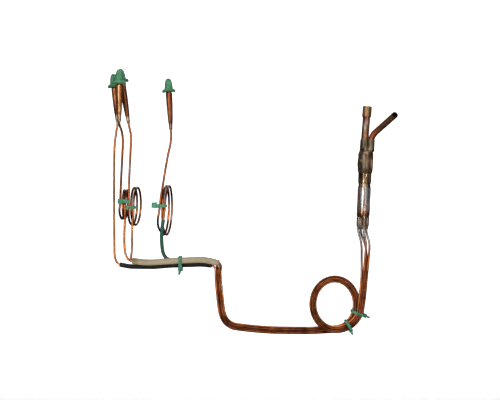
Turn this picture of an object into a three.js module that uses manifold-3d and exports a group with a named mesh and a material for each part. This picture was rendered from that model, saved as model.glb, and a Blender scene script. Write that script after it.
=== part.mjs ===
// Refrigerant distributor with four capillary tubes, for a small air conditioner or heat pump.
// Millimetres. +Z is up, +X runs from the outlet stubs to the distributor, and +Y goes into the depth.
// The origin is the middle of the inlet socket's mouth.
import * as THREE from 'three';
import { mergeVertices } from 'three/addons/utils/BufferGeometryUtils.js';
import Module from 'manifold-3d';

const wasm = await Module();
wasm.setup();

// ---- driving dimensions ----
const GAP = 0.3; // clearance left between touching pieces

const CAPILLARY_OD = 3;
const CAPILLARY_SIDES = 6;
const CAPILLARY_TURN_STEP = THREE.MathUtils.degToRad(15); // a new section after this much turning
const CAPILLARY_LONG_STEP = 15; // and at least one in this length

const INLET_OD = 9.52; // 3/8 inch tube
const INLET_WALL = 0.8;
const INLET_LENGTH = 50;
const INLET_TOP = -9; // along the inlet axis, inside the socket
const SOCKET_OD = 11.6;
const SOCKET_BORE = 9.6;
const SOCKET_LENGTH = 13.2;
const INLET_LEAN = THREE.MathUtils.degToRad(4.5);

const BRANCH_OD = 7.94; // 5/16 inch tube
const BRANCH_WALL = 0.8;

const BODY_LEAN = THREE.MathUtils.degToRad(2.6);
const BODY_TOP = [-1.3, -1.5, -41.3];
const UPPER_OD = 19.05; // 3/4 inch tube
const UPPER_WALL = 0.95;
const UPPER_LENGTH = 38;
const PINCH_LENGTH = 12; // length gripped round the two pipes
const PINCH_WALL = 0.6 + GAP;
const SHOULDER_LENGTH = 6;
const LOWER_OD = 16.5;
const LOWER_WALL = 0.9;
const LOWER_TOP = 24; // below the body's top
const LOWER_BOTTOM = 108.3;
const CRIMP_LENGTH = 13;
const BEAD_AT = 57;
const BEAD_HEIGHT = 6;
const BEAD_DEPTH = 0.8;
const HOLE_CIRCLE = 5.4; // radius of the circle that the four capillaries leave on
const HOLE_TURN = THREE.MathUtils.degToRad(14);

const STUB_OD = 7;
const STUB_SWELL_RADIUS = 4.15; // just below the cap
const STUB_WALL = 0.7;
const STUB_NECK = 9; // length drawn down onto the capillary
const CAP_HEIGHT = 17;
const CAP_BRIM_RADIUS = 8.45;
const CAP_GRIP = 9.2; // how far the stub reaches into the cap
const CAP_TRAVEL_CLEARANCE = 0.3;

const BEIGE_OD = 7.8;
const BEIGE_BORE = 6.9;
const BLACK_OD = 5.8;
const GREEN_OD = 4.7;
const SINGLE_SLEEVE_BORE = CAPILLARY_OD + 3 * GAP;

const BEND_STEP = THREE.MathUtils.degToRad(10); // for the branch and the sleeves
const BRANCH_LONG_STEP = 20;
const SLEEVE_LONG_STEP = 14;

const BUNDLE_PITCH = 2.15; // capillary spacing across the flat bundle
const BUNDLE_STAGGER = 1.15; // and half its stagger in depth

// ---- materials ----
function material(name, color, roughness, metalness) {
  return new THREE.MeshStandardMaterial({ name, color, roughness, metalness });
}

const bareCopper = () => material('bare_copper', 0xb5683a, 0.35, 1);
const agedCopper = () => material('aged_copper', 0x7d5a4a, 0.45, 1);
const brazeAlloy = () => material('braze_alloy', 0x9a9286, 0.5, 1);
const greenPlastic = () => material('green_plastic', 0x46a077, 0.45, 0);
const steelMesh = () => material('steel_mesh', 0xa8a8a5, 0.4, 1);

const assembly = new THREE.Group();

function addMesh(parent, name, geometry, finish) {
  const mesh = new THREE.Mesh(geometry, finish);
  mesh.name = name;
  parent.add(mesh);
  return mesh;
}

// ---- solids ----
function solid(geometry) {
  const bare = geometry.clone();
  bare.deleteAttribute('normal');
  bare.deleteAttribute('uv');
  const merged = mergeVertices(bare, 1e-4);
  return new wasm.Manifold(new wasm.Mesh({
    numProp: 3,
    vertProperties: new Float32Array(merged.attributes.position.array),
    triVerts: new Uint32Array(merged.index.array),
  }));
}

function geometryOf(manifold) {
  const mesh = manifold.getMesh();
  const geometry = new THREE.BufferGeometry();
  geometry.setAttribute('position', new THREE.BufferAttribute(mesh.vertProperties, 3));
  geometry.setIndex(new THREE.BufferAttribute(mesh.triVerts, 1));
  return geometry;
}

// A turned piece: its outline is [radius, height] pairs, and it is spun about Z.
// An outline that starts on the axis also ends there, and any other is closed.
function turned(outline, segments) {
  const points = outline.map(([radius, height]) => new THREE.Vector2(radius, height));
  const onAxis = outline[0][0] === 0;
  if (!onAxis) points.push(points[0].clone());
  return new THREE.LatheGeometry(points, segments).rotateX(Math.PI / 2);
}

function ringOutline(inner, outer, low, high) {
  return [[inner, low], [outer, low], [outer, high], [inner, high]];
}

function rod(radius, low, high, x = 0, y = 0, segments = 24) {
  const height = high - low;
  const geometry = new THREE.CylinderGeometry(radius, radius, height, segments).rotateX(Math.PI / 2);
  return geometry.translate(x, y, low + height / 2);
}

// ---- routes ----
// A curve through fixed stations, so that straight runs stay light and bends stay round.
class Route extends THREE.Curve {
  constructor(stations) {
    super();
    this.stations = stations;
  }

  getPoint(t, target = new THREE.Vector3()) {
    const last = this.stations.length - 1;
    const place = Math.min(Math.max(t, 0), 1) * last;
    const index = Math.min(Math.floor(place), last - 1);
    return target.copy(this.stations[index]).lerp(this.stations[index + 1], place - index);
  }

  getPointAt(u, target) {
    return this.getPoint(u, target);
  }

  getTangentAt(u, target = new THREE.Vector3()) {
    const step = 1 / (this.stations.length - 1);
    const ahead = this.getPoint(u + step).sub(this.getPoint(u));
    const behind = this.getPoint(u).sub(this.getPoint(u - step));
    if (ahead.lengthSq() > 0) ahead.normalize();
    if (behind.lengthSq() > 0) behind.normalize();
    return target.copy(ahead).add(behind).normalize();
  }
}

function vectors(points) {
  return points.map((point) => new THREE.Vector3(...point));
}

// Smooth curve through the given points, with a station at each bit of turning.
function smoothRoute(points, turnStep, longStep) {
  const curve = new THREE.CatmullRomCurve3(vectors(points), false, 'centripetal');
  curve.arcLengthDivisions = 4000;
  const samples = curve.getSpacedPoints(Math.ceil(curve.getLength()));
  const stations = [samples[0]];
  let turned = 0;
  let run = 0;
  for (let i = 1; i < samples.length - 1; i += 1) {
    const before = samples[i].clone().sub(samples[i - 1]);
    const after = samples[i + 1].clone().sub(samples[i]);
    turned += before.angleTo(after);
    run += before.length();
    if (turned > turnStep || run > longStep) {
      stations.push(samples[i]);
      turned = 0;
      run = 0;
    }
  }
  if (stations.at(-1).distanceTo(samples.at(-1)) < 1) stations.pop();
  stations.push(samples.at(-1));
  return new Route(stations);
}

function circleShape(radius, sides) {
  const corners = [];
  for (let i = 0; i < sides; i += 1) {
    const angle = (2 * Math.PI * i) / sides;
    corners.push(new THREE.Vector2(radius * Math.cos(angle), radius * Math.sin(angle)));
  }
  return new THREE.Shape(corners);
}

function swept(route, outerDiameter, sides, bore = 0) {
  const shape = circleShape(outerDiameter / 2, sides);
  if (bore > 0) shape.holes.push(new THREE.Path(circleShape(bore / 2, sides).getPoints()));
  const steps = route.stations.length - 1;
  return new THREE.ExtrudeGeometry(shape, { steps, bevelEnabled: false, extrudePath: route });
}

// ---- inlet pipe ----
function addInlet() {
  const inlet = new THREE.Group();
  inlet.rotation.y = INLET_LEAN;
  assembly.add(inlet);

  const socketOutline = [
    [SOCKET_BORE / 2, 0],
    [SOCKET_BORE / 2, INLET_TOP + GAP],
    [INLET_OD / 2 + GAP, INLET_TOP + GAP],
    [INLET_OD / 2 + GAP, -SOCKET_LENGTH],
    [SOCKET_OD / 2, -SOCKET_LENGTH],
    [SOCKET_OD / 2, 0],
  ];
  addMesh(inlet, 'inlet_socket', turned(socketOutline, 24), agedCopper());

  const outer = INLET_OD / 2;
  const tubeOutline = ringOutline(outer - INLET_WALL, outer, INLET_TOP - INLET_LENGTH, INLET_TOP);
  addMesh(inlet, 'inlet_tube', turned(tubeOutline, 24), agedCopper());
}

// ---- branch pipe, bent forward and to the right ----
const BRANCH_ROUTE = [
  [3.6, -5, -54],
  [3.9, -5, -47.5],
  [4.5, -5.2, -41],
  [7, -7.2, -35.3],
  [13.6, -12.4, -28.7],
  [21.6, -19.2, -21.3],
  [31.7, -27.8, -11.8],
];

function branchSweep(outerDiameter, bore = 0) {
  return swept(smoothRoute(BRANCH_ROUTE, BEND_STEP, BRANCH_LONG_STEP), outerDiameter, 16, bore);
}

// The branch is sawn off aslant, so its open end faces more to the front.
const BRANCH_SAW_NORMAL = [0.363, -0.859, 0.365];
const BRANCH_SAW_SETBACK = 2;

function addBranch() {
  const whole = solid(branchSweep(BRANCH_OD, BRANCH_OD - 2 * BRANCH_WALL));
  const [before, end] = BRANCH_ROUTE.slice(-2).map((point) => new THREE.Vector3(...point));
  const middle = end.clone().sub(end.clone().sub(before).setLength(BRANCH_SAW_SETBACK));
  const inward = new THREE.Vector3(...BRANCH_SAW_NORMAL).normalize().negate();
  const sawn = whole.trimByPlane(inward.toArray(), inward.dot(middle));
  addMesh(assembly, 'branch_tube', geometryOf(sawn), agedCopper());
}

// ---- distributor body ----
function inletInBody(z) {
  // Where the inlet axis is in the body's frame, at a height z from the body's top.
  const x = Math.tan(INLET_LEAN) * (BODY_TOP[2] + z) - BODY_TOP[0] - Math.tan(BODY_LEAN) * z;
  return [x, -BODY_TOP[1]];
}

function addBody() {
  const body = new THREE.Group();
  body.position.set(...BODY_TOP);
  body.rotation.y = BODY_LEAN;
  assembly.add(body);

  addUpperShell(body);
  addLowerShell(body);
  addStrainer(body);

  const lowEdge = -UPPER_LENGTH;
  const fillet = [
    [LOWER_OD / 2 + GAP, lowEdge - 3.5],
    [LOWER_OD / 2 + 0.7, lowEdge - 3.5],
    [UPPER_OD / 2 - 0.2, lowEdge - 1.2],
    [UPPER_OD / 2, lowEdge - GAP],
    [LOWER_OD / 2 + GAP, lowEdge - GAP],
  ];
  addMesh(body, 'body_braze', turned(fillet, 28), brazeAlloy());
  return body;
}

function addUpperShell(body) {
  const barrelTop = -(PINCH_LENGTH + SHOULDER_LENGTH);
  const outer = UPPER_OD / 2;
  const inner = outer - UPPER_WALL;
  const inletLobe = INLET_OD / 2 + PINCH_WALL;
  const branchLobe = BRANCH_OD / 2 + PINCH_WALL;
  const [inletX, inletY] = inletInBody(-PINCH_LENGTH / 2);
  const [branchX, branchY] = [5.2, BRANCH_ROUTE[0][1] - BODY_TOP[1]];

  const barrel = solid(turned([
    [0, -UPPER_LENGTH], [outer, -UPPER_LENGTH], [outer, barrelTop], [outer - 2, -PINCH_LENGTH],
    [0, -PINCH_LENGTH],
  ], 28));
  const lobes = solid(rod(inletLobe, -PINCH_LENGTH - 2, 0, inletX, inletY, 28))
    .add(solid(rod(branchLobe, -PINCH_LENGTH - 2, 0, branchX, branchY, 24)));
  const cavityTop = -PINCH_LENGTH - 1.2;
  const cavity = solid(turned([
    [0, -UPPER_LENGTH - 1], [inner, -UPPER_LENGTH - 1], [inner, barrelTop], [outer - 3, cavityTop],
    [0, cavityTop],
  ], 28));

  const inletCut = rod(INLET_OD / 2 + GAP, -30, 2, 0, 0, 24);
  inletCut.rotateY(INLET_LEAN - BODY_LEAN);
  inletCut.translate(...inletInBody(0), 0);
  const branchCut = branchSweep(BRANCH_OD + 2 * GAP);
  branchCut.translate(-BODY_TOP[0], -BODY_TOP[1], -BODY_TOP[2]);
  branchCut.rotateY(-BODY_LEAN);

  const shell = barrel.add(lobes).subtract(cavity).subtract(solid(inletCut)).subtract(solid(branchCut));
  addMesh(body, 'upper_shell', geometryOf(shell), agedCopper());
}

function holePlace(index) {
  const angle = HOLE_TURN + (index * Math.PI) / 2;
  return [HOLE_CIRCLE * Math.cos(angle), HOLE_CIRCLE * Math.sin(angle)];
}

function addLowerShell(body) {
  const outer = LOWER_OD / 2;
  const inner = outer - LOWER_WALL;
  const crimpTop = -LOWER_BOTTOM + CRIMP_LENGTH;
  const beadRadius = outer - BEAD_DEPTH;
  const barrel = solid(turned([
    [0, crimpTop - 3], [outer - 1.6, crimpTop - 3], [outer, crimpTop + 1],
    [outer, -BEAD_AT - BEAD_HEIGHT / 2], [beadRadius, -BEAD_AT - 1], [beadRadius, -BEAD_AT + 1],
    [outer, -BEAD_AT + BEAD_HEIGHT / 2], [outer, -LOWER_TOP], [0, -LOWER_TOP],
  ], 28));
  const cavity = solid(turned([
    [0, crimpTop - 1.5], [inner - 2.2, crimpTop - 1.5], [inner, crimpTop + 2],
    [inner, -BEAD_AT - BEAD_HEIGHT / 2], [beadRadius - LOWER_WALL, -BEAD_AT - 1],
    [beadRadius - LOWER_WALL, -BEAD_AT + 1], [inner, -BEAD_AT + BEAD_HEIGHT / 2],
    [inner, -LOWER_TOP + 1], [0, -LOWER_TOP + 1],
  ], 28));

  let shell = barrel.add(solid(rod(4.4, -LOWER_BOTTOM, crimpTop, 0, 0, 16)));
  for (let i = 0; i < 4; i += 1) {
    const [x, y] = holePlace(i);
    shell = shell.add(solid(rod(outer - HOLE_CIRCLE, -LOWER_BOTTOM, crimpTop, x, y, 16)));
  }
  shell = shell.subtract(cavity);
  for (let i = 0; i < 4; i += 1) {
    const [x, y] = holePlace(i);
    shell = shell.subtract(solid(rod(CAPILLARY_OD / 2 + GAP, -LOWER_BOTTOM - 1, crimpTop + 2.5, x, y, 8)));
  }
  addMesh(body, 'lower_shell', geometryOf(shell), agedCopper());

  const top = -LOWER_BOTTOM - GAP;
  let braze = solid(turned([[0, top - 4], [4.2, top - 4], [6.6, top - 2.4], [7.4, top], [0, top]], 20));
  for (let i = 0; i < 4; i += 1) {
    const [x, y] = holePlace(i);
    braze = braze.add(solid(rod(2.2, top - 3.2, top, x, y, 12)));
  }
  for (let i = 0; i < 4; i += 1) {
    const [x, y] = holePlace(i);
    braze = braze.subtract(solid(rod(CAPILLARY_OD / 2 + GAP, top - 5, top + 1, x, y, 8)));
  }
  addMesh(body, 'capillary_braze', geometryOf(braze), brazeAlloy());
}

function addStrainer(body) {
  const seat = -BEAD_AT - BEAD_HEIGHT / 2;
  const ringRadius = LOWER_OD / 2 - LOWER_WALL - GAP;
  const ringLow = seat - 4;
  const ring = ringOutline(ringRadius - 1.6, ringRadius, ringLow, seat);
  addMesh(body, 'strainer_ring', turned(ring, 28), material('brass', 0xb99a4f, 0.35, 1));

  const rim = ringLow - GAP;
  const tip = rim - 24;
  const screen = [
    [0, tip], [2.6, tip + 1], [ringRadius, rim], [ringRadius - 0.6, rim], [2.1, tip + 1.6], [0, tip + 0.7],
  ];
  addMesh(body, 'strainer_screen', turned(screen, 28), steelMesh());
}

// ---- capillaries ----
// The middle of the bundle: down from the body, once round the big ring, and left along the bottom.
const RING = { x: -40.8, z: -247.2, across: 27.4, up: 31.3, frontExcess: 5.4, depth: 2.7 };

function ringPoint(turn) {
  // turn is the angle gone since three o'clock, clockwise.
  const away = 1 - THREE.MathUtils.smoothstep(turn, 0, Math.PI / 2);
  const excess = RING.frontExcess * away;
  const x = RING.x + (RING.across + excess) * Math.cos(turn);
  const z = RING.z - (RING.up + excess) * Math.sin(turn);
  const back = THREE.MathUtils.smoothstep(turn, 0.75 * Math.PI, 1.86 * Math.PI);
  return [x, RING.depth * (2 * back - 1), z];
}

function bundleCentre() {
  const points = [
    [-4.3, -2.7, -212], [-5.8, -2.7, -229.5],
  ];
  const stepsPerTurn = 20;
  for (let i = 0; i <= 1.2 * stepsPerTurn; i += 1) {
    points.push(ringPoint((2 * Math.PI * i) / stepsPerTurn));
  }
  points.push(
    [-60, 2.7, -279.9], [-80, 2.2, -280.3], [-100, 1.2, -280], [-120, 0, -279.4], [-139, 0, -278.1],
    [-157, 0, -276.1], [-168.5, 0, -274.1], [-176.4, 0, -268.7], [-181.2, 0, -259.5], [-183.2, 0, -248],
    [-184.9, 0, -232], [-186.2, 0, -218],
  );
  return points;
}

// How each capillary lies in the bundle: slots counted outwards from the ring's middle.
const SLOT = { 1: -1.5, 4: -0.5, 2: 0.5, 3: 1.5 };

function inBundle(index) {
  const centre = vectors(bundleCentre());
  const side = SLOT[index];
  const depth = (side === -1.5 || side === 0.5) ? -BUNDLE_STAGGER : BUNDLE_STAGGER;
  return centre.map((point, i) => {
    const before = centre[Math.max(i - 1, 0)];
    const after = centre[Math.min(i + 1, centre.length - 1)];
    const along = after.clone().sub(before).normalize();
    const right = new THREE.Vector3(-along.z, 0, along.x).normalize().negate();
    const place = point.clone().addScaledVector(right, side * BUNDLE_PITCH);
    return [place.x, place.y + depth, place.z];
  });
}

// Out of the crimped end, gathering into the bundle. The holes count round from the right.
const LEAD = {
  1: { hole: 0, points: [[2.4, -0.6, -172], [1.2, -2.8, -190]] },
  2: { hole: 3, points: [[-2.4, -4.6, -172], [-3.4, -4.1, -190]] },
  3: { hole: 2, points: [[-7.8, -1.5, -172], [-7.4, -1.7, -190]] },
  4: { hole: 1, points: [[-6.2, 4.7, -162], [-2.4, 2.4, -174], [-1.1, -0.2, -190]] },
};

function leadOut(index, body) {
  const { hole, points } = LEAD[index];
  const [x, y] = holePlace(hole);
  const heights = [-LOWER_BOTTOM + CRIMP_LENGTH + 2, -LOWER_BOTTOM + 4, -LOWER_BOTTOM - 6];
  body.updateMatrixWorld(true);
  const straight = heights.map((z) => new THREE.Vector3(x, y, z).applyMatrix4(body.matrixWorld).toArray());
  return [...straight, ...points];
}

// A coil stands nearly edge-on: near side at the tie, far side behind, two turns, upwards in front.
// near and far are the x of each pass, lean tips the coil sideways, and bulge bows the last pass.
const COIL = {
  2: {
    near: [-301.9, -305, -308.1], far: [-303, -306.8], y: -8, z: -122.6, radius: 18.1, tie: -118.2,
    bulge: 1, lean: 1,
  },
  3: {
    near: [-291.9, -295, -298.1], far: [-288.2, -293], y: -4, z: -124.9, radius: 23.7, tie: -125.7,
    bulge: 0.6, lean: 0.8,
  },
  4: {
    near: [-252.9, -256, -259.1], far: [-248.8, -252.8], y: -6, z: -130.1, radius: 31.1, tie: -123.2,
    bulge: 3, lean: 1.8,
  },
};

function coilPoints(index) {
  const { near, far, y, z, radius, tie, bulge, lean } = COIL[index];
  const start = Math.asin((tie - z) / radius);
  const middleY = y + radius * Math.cos(start);
  const stepsPerTurn = 20;
  const points = [];
  for (let i = 0; i <= 2 * stepsPerTurn; i += 1) {
    const turn = i / stepsPerTurn;
    const lap = Math.min(Math.floor(turn), 1);
    const within = turn - lap;
    const angle = start + 2 * Math.PI * turn;
    const nearX = THREE.MathUtils.lerp(near[lap], near[lap + 1], within);
    const farShare = (1 - Math.cos(2 * Math.PI * within)) / 2;
    const swing = lap === 1 && within > 0.75 ? Math.sin(4 * Math.PI * (within - 0.75)) ** 2 : 0;
    const x = THREE.MathUtils.lerp(nearX, far[lap], farShare) - bulge * swing + lean * Math.sin(angle);
    points.push([x, middleY - radius * Math.cos(angle), z + radius * Math.sin(angle)]);
  }
  return points;
}

// Stubs: the lower end of each one's tube and the middle of its open top, under the cap.
const STUB = {
  1: { low: [-315.6, 14, -5.6], top: [-319.1, 15, 34.8] },
  2: { low: [-307.9, -16.5, -8.4], top: [-308, -16.5, 35] },
  3: { low: [-300.6, 1, -8.6], top: [-308.1, 1, 39.6] },
  4: { low: [-246.1, -2, -17.6], top: [-248.5, -2, 27] },
};

function stubPoint(index, above) {
  const [low, top] = vectors([STUB[index].low, STUB[index].top]);
  const along = top.sub(low).normalize();
  return low.addScaledVector(along, above).toArray();
}

// Sleeve routes, from right to left.
const BEIGE_ROUTE = [
  [-185.4, -1.5, -196.1], [-191.5, -1.5, -194.2], [-198.8, -1.5, -192.7], [-206.8, -1.5, -191.6],
  [-223.8, -1.5, -192.1], [-248.8, -1.5, -193.4], [-268.1, -1.5, -194.8], [-279, -1.5, -194.6],
  [-293.6, -1.5, -192.9],
];
const BLACK_ROUTE = [
  [-194.6, 2.9, -199.2], [-206.8, 2.7, -197.9], [-223.8, 2.7, -198.3], [-248.8, 2.7, -199.3],
  [-268.1, 2.7, -200.7], [-279, 2.7, -200.6], [-296.3, 2.7, -200.2], [-309.8, 2.7, -197.9],
];
const GREEN_ROUTE = [
  [-196, 4.6, -191.9], [-208, 4.6, -190.6], [-223.8, 4.6, -191.3], [-238, 4.6, -192.1],
  [-246.5, 4.6, -192], [-251.8, 4.4, -189.6], [-255.2, 3.4, -184.4], [-256.6, 1.4, -176.8],
  [-257, -1.2, -169.5], [-256.9, -4, -161], [-256, -6.4, -152], [-254.4, -8.2, -141.4],
];

function shifted(points, dy, dz) {
  return points.map(([x, y, z]) => [x, y + dy, z + dz]);
}

const IN_SLEEVE = {
  1: {
    turn: [[-189.8, -0.6, -207], [-190.4, 1.6, -202]],
    sleeve: BLACK_ROUTE,
    riser: [
      [-314, 3, -194.2], [-316.2, 3.2, -187.5], [-316.7, 3.6, -178], [-316.9, 4, -166],
      [-317.4, 5, -117], [-317.8, 9, -66.6], [-317.4, 11.4, -46], [-315.6, 13.2, -30],
    ],
  },
  2: {
    turn: [[-185.6, -2.5, -206], [-184.5, -2.9, -201.2]],
    sleeve: shifted(BEIGE_ROUTE, -1.4, -0.6),
    riser: [
      [-298.6, -3.1, -190.6], [-301.6, -3.4, -185], [-302.9, -4, -177], [-303.2, -5, -162],
      [-302.4, -7, -146], [-301.9, -8.9, -132],
    ],
    upper: [
      [-307.3, -8.4, -104.6], [-306.4, -9.4, -87.2], [-305, -11.4, -65], [-303.9, -13.6, -42.8],
      [-304.9, -15.2, -33],
    ],
  },
  3: {
    turn: [[-183.6, 0.4, -206], [-182.8, -0.1, -200.6]],
    sleeve: shifted(BEIGE_ROUTE, 1.4, 0.6),
    riser: [
      [-295.6, -0.1, -190.3], [-295, -0.1, -185.4], [-294.3, -0.4, -177], [-294, -1.6, -162],
      [-293.2, -3.6, -146], [-292.1, -4.8, -137],
    ],
    upper: [
      [-297.6, -3.7, -104.5], [-297.2, -3, -87.1], [-296.3, -1.5, -64.6], [-295.6, 0, -44],
      [-295.9, 0.6, -34.5],
    ],
  },
  4: {
    turn: [[-187.4, 2.2, -207], [-188.2, 4.2, -199.5], [-190.6, 4.6, -194.4]],
    sleeve: GREEN_ROUTE,
    riser: [[-253.2, -7.2, -132]],
    upper: [
      [-257.6, -6, -113], [-255.1, -6, -98.3], [-252.2, -5, -79.7], [-248.9, -4, -60.9],
      [-245.6, -2.8, -44.5],
    ],
  },
};

function capillaryRoute(index, body) {
  const { turn, sleeve, riser, upper } = IN_SLEEVE[index];
  const coil = COIL[index] ? coilPoints(index) : [];
  const intoStub = [-STUB_NECK - 6, -STUB_NECK + 2, STUB_NECK / 2].map((above) => stubPoint(index, above));
  const points = [
    ...leadOut(index, body), ...inBundle(index), ...turn, ...sleeve, ...riser, ...coil, ...(upper ?? []),
    ...intoStub,
  ];
  return smoothRoute(points, CAPILLARY_TURN_STEP, CAPILLARY_LONG_STEP);
}

function addCapillaries(body) {
  for (const index of [1, 2, 3, 4]) {
    const geometry = swept(capillaryRoute(index, body), CAPILLARY_OD, CAPILLARY_SIDES);
    addMesh(assembly, `capillary_${index}`, geometry, bareCopper());
  }
}

// ---- sleeves ----
function addSleeves() {
  const sleeves = [
    ['beige_sleeve', BEIGE_ROUTE, BEIGE_OD, BEIGE_BORE, 0xbdb08e],
    ['black_sleeve', BLACK_ROUTE, BLACK_OD, SINGLE_SLEEVE_BORE, 0x262524],
    ['green_sleeve', GREEN_ROUTE, GREEN_OD, SINGLE_SLEEVE_BORE, 0x14604b],
  ];
  for (const [name, points, outer, bore, color] of sleeves) {
    const geometry = swept(smoothRoute(points, BEND_STEP, SLEEVE_LONG_STEP), outer, 12, bore);
    addMesh(assembly, name, geometry, material(name, color, 0.8, 0));
  }
}

// ---- outlet stubs and caps ----
function addOutlet(index) {
  const [low, top] = vectors([STUB[index].low, STUB[index].top]);
  const along = top.clone().sub(low);
  const length = along.length();
  const outlet = new THREE.Group();
  outlet.position.copy(low);
  outlet.quaternion.setFromUnitVectors(new THREE.Vector3(0, 0, 1), along.normalize());
  assembly.add(outlet);

  const outer = STUB_OD / 2;
  const bore = outer - STUB_WALL;
  const capillaryBore = CAPILLARY_OD / 2 + GAP;
  const shoulder = length - CAP_GRIP - 0.6;
  const stub = [
    [capillaryBore, -STUB_NECK], [2.3, -STUB_NECK], [2.5, -6], [2.9, -1.2], [3.4, shoulder / 3],
    [STUB_SWELL_RADIUS, shoulder - 1], [outer, shoulder], [outer, length], [bore, length], [bore, 6],
    [capillaryBore, 0],
  ];
  addMesh(outlet, `outlet_stub_${index}`, turned(stub, 14), bareCopper());

  const collar = -STUB_NECK - GAP;
  const braze = [
    [capillaryBore, collar - 3.6], [capillaryBore + 0.4, collar - 3.6], [2.25, collar - 1], [2.25, collar],
    [capillaryBore, collar],
  ];
  addMesh(outlet, `stub_braze_${index}`, turned(braze, 10), brazeAlloy());

  const capBase = length - CAP_GRIP;
  const grip = outer + CAP_TRAVEL_CLEARANCE;
  const cap = [
    [0, CAP_GRIP + 3], [2.4, CAP_GRIP + 2.4], [grip, CAP_GRIP + 0.6], [grip, 0],
    [CAP_BRIM_RADIUS - 0.4, 0], [CAP_BRIM_RADIUS, 0.6], [CAP_BRIM_RADIUS - 0.5, 1.3], [6, 2.6],
    [5, 4.6], [4.7, 7], [4.5, 11], [4, 14.6], [3.2, 16.9], [1.8, CAP_HEIGHT - 0.3], [0, CAP_HEIGHT],
  ];
  addMesh(outlet, `end_cap_${index}`, turned(cap, 18), greenPlastic()).position.z = capBase;
}

// ---- cable ties ----
// A tie is a flat loop round the tubes, with a square head and a short tail. Local X and Y cross the tubes.
const TIE_THICKNESS = 1.1;

function roundedLoop(halfX, halfY, radius) {
  const shape = new THREE.Shape();
  shape.absarc(halfX - radius, halfY - radius, radius, 0, Math.PI / 2);
  shape.absarc(-halfX + radius, halfY - radius, radius, Math.PI / 2, Math.PI);
  shape.absarc(-halfX + radius, -halfY + radius, radius, Math.PI, 1.5 * Math.PI);
  shape.absarc(halfX - radius, -halfY + radius, radius, 1.5 * Math.PI, 2 * Math.PI);
  return new THREE.Shape(shape.extractPoints(3).shape);
}

function addTie(name, { at, axis, across, inside, width, head, tail }) {
  const [halfX, halfY] = inside;
  const corner = Math.min(halfX, halfY) / 2;
  const loop = roundedLoop(halfX + TIE_THICKNESS, halfY + TIE_THICKNESS, corner + TIE_THICKNESS);
  loop.holes.push(roundedLoop(halfX, halfY, corner));
  const band = new THREE.ExtrudeGeometry(loop, { depth: width, bevelEnabled: false, curveSegments: 4 });
  let tie = solid(band.translate(0, 0, -width / 2));
  for (const [size, place] of [head, tail]) {
    tie = tie.add(solid(new THREE.BoxGeometry(...size).translate(...place)));
  }
  const along = new THREE.Vector3(...axis).normalize();
  const side = new THREE.Vector3(...across);
  side.addScaledVector(along, -side.dot(along)).normalize();
  const third = new THREE.Vector3().crossVectors(along, side);
  const mesh = addMesh(assembly, name, geometryOf(tie), greenPlastic());
  mesh.quaternion.setFromRotationMatrix(new THREE.Matrix4().makeBasis(side, third, along));
  mesh.position.set(...at);
}

function ringDirection(degrees) {
  const angle = THREE.MathUtils.degToRad(degrees);
  return [Math.cos(angle), 0, Math.sin(angle)];
}

function addTies() {
  const rimAt = (degrees, radius) => {
    const [x, , z] = ringDirection(degrees);
    return [RING.x + radius * x, 0, RING.z + radius * z];
  };
  addTie('ring_tie_1', {
    at: rimAt(-21.5, 31), axis: ringDirection(-21.5 - 90), across: ringDirection(-21.5), inside: [8.5, 6.5],
    width: 3.2, head: [[4.6, 4.2, 5.2], [10, -6, 0]], tail: [[6, 1.2, 3.2], [14, -5.4, 0]],
  });
  addTie('ring_tie_2', {
    at: rimAt(-57, 31.3), axis: ringDirection(-57 - 90), across: ringDirection(-57), inside: [7, 6.5],
    width: 3.2, head: [[4.6, 4.2, 5.2], [7.8, -6, 1]], tail: [[5, 1.2, 3.2], [10.4, -5.4, 2]],
  });
  addTie('sleeve_tie', {
    at: [-233.8, 1.2, -195.4], axis: [1, 0, 0.05], across: [0, 0, 1], inside: [7.5, 7], width: 4.2,
    head: [[4.4, 4.6, 6.2], [-8.8, -5.4, -0.8]], tail: [[5.4, 1.2, 3.4], [-12.6, -4.8, -2]],
  });
  addTie('coil_tie_2', {
    at: [-305, -8.1, -118.6], axis: [0, 0, 1], across: [1, 0, 0], inside: [5.1, 2.6], width: 4.4,
    head: [[6.6, 2.4, 6.6], [-2.4, -3.5, 0]], tail: [[2.2, 1.2, 3.4], [6.6, -2.6, -0.6]],
  });
  addTie('coil_tie_3', {
    at: [-295, -4.2, -126.2], axis: [0, 0, 1], across: [1, 0, 0], inside: [4.9, 2.6], width: 3.4,
    head: [[3, 2.6, 4.6], [-3.7, -3.7, 0]], tail: [[2, 1.2, 3], [6.5, -2.6, 0]],
  });
  addTie('coil_tie_4', {
    at: [-256, -6.3, -124.4], axis: [0, 0, 1], across: [1, 0, 0], inside: [5.1, 2.6], width: 3.6,
    head: [[3.4, 2.6, 4.8], [-5, -3.2, 0]], tail: [[8, 1.3, 8], [-7.4, -3.6, 0.8]],
  });
}

addInlet();
addBranch();
const distributorBody = addBody();
addCapillaries(distributorBody);
addSleeves();
for (const index of [1, 2, 3, 4]) {
  addOutlet(index);
}
addTies();

export default assembly;
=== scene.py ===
import math

import bpy
from mathutils import Matrix, Vector


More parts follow.
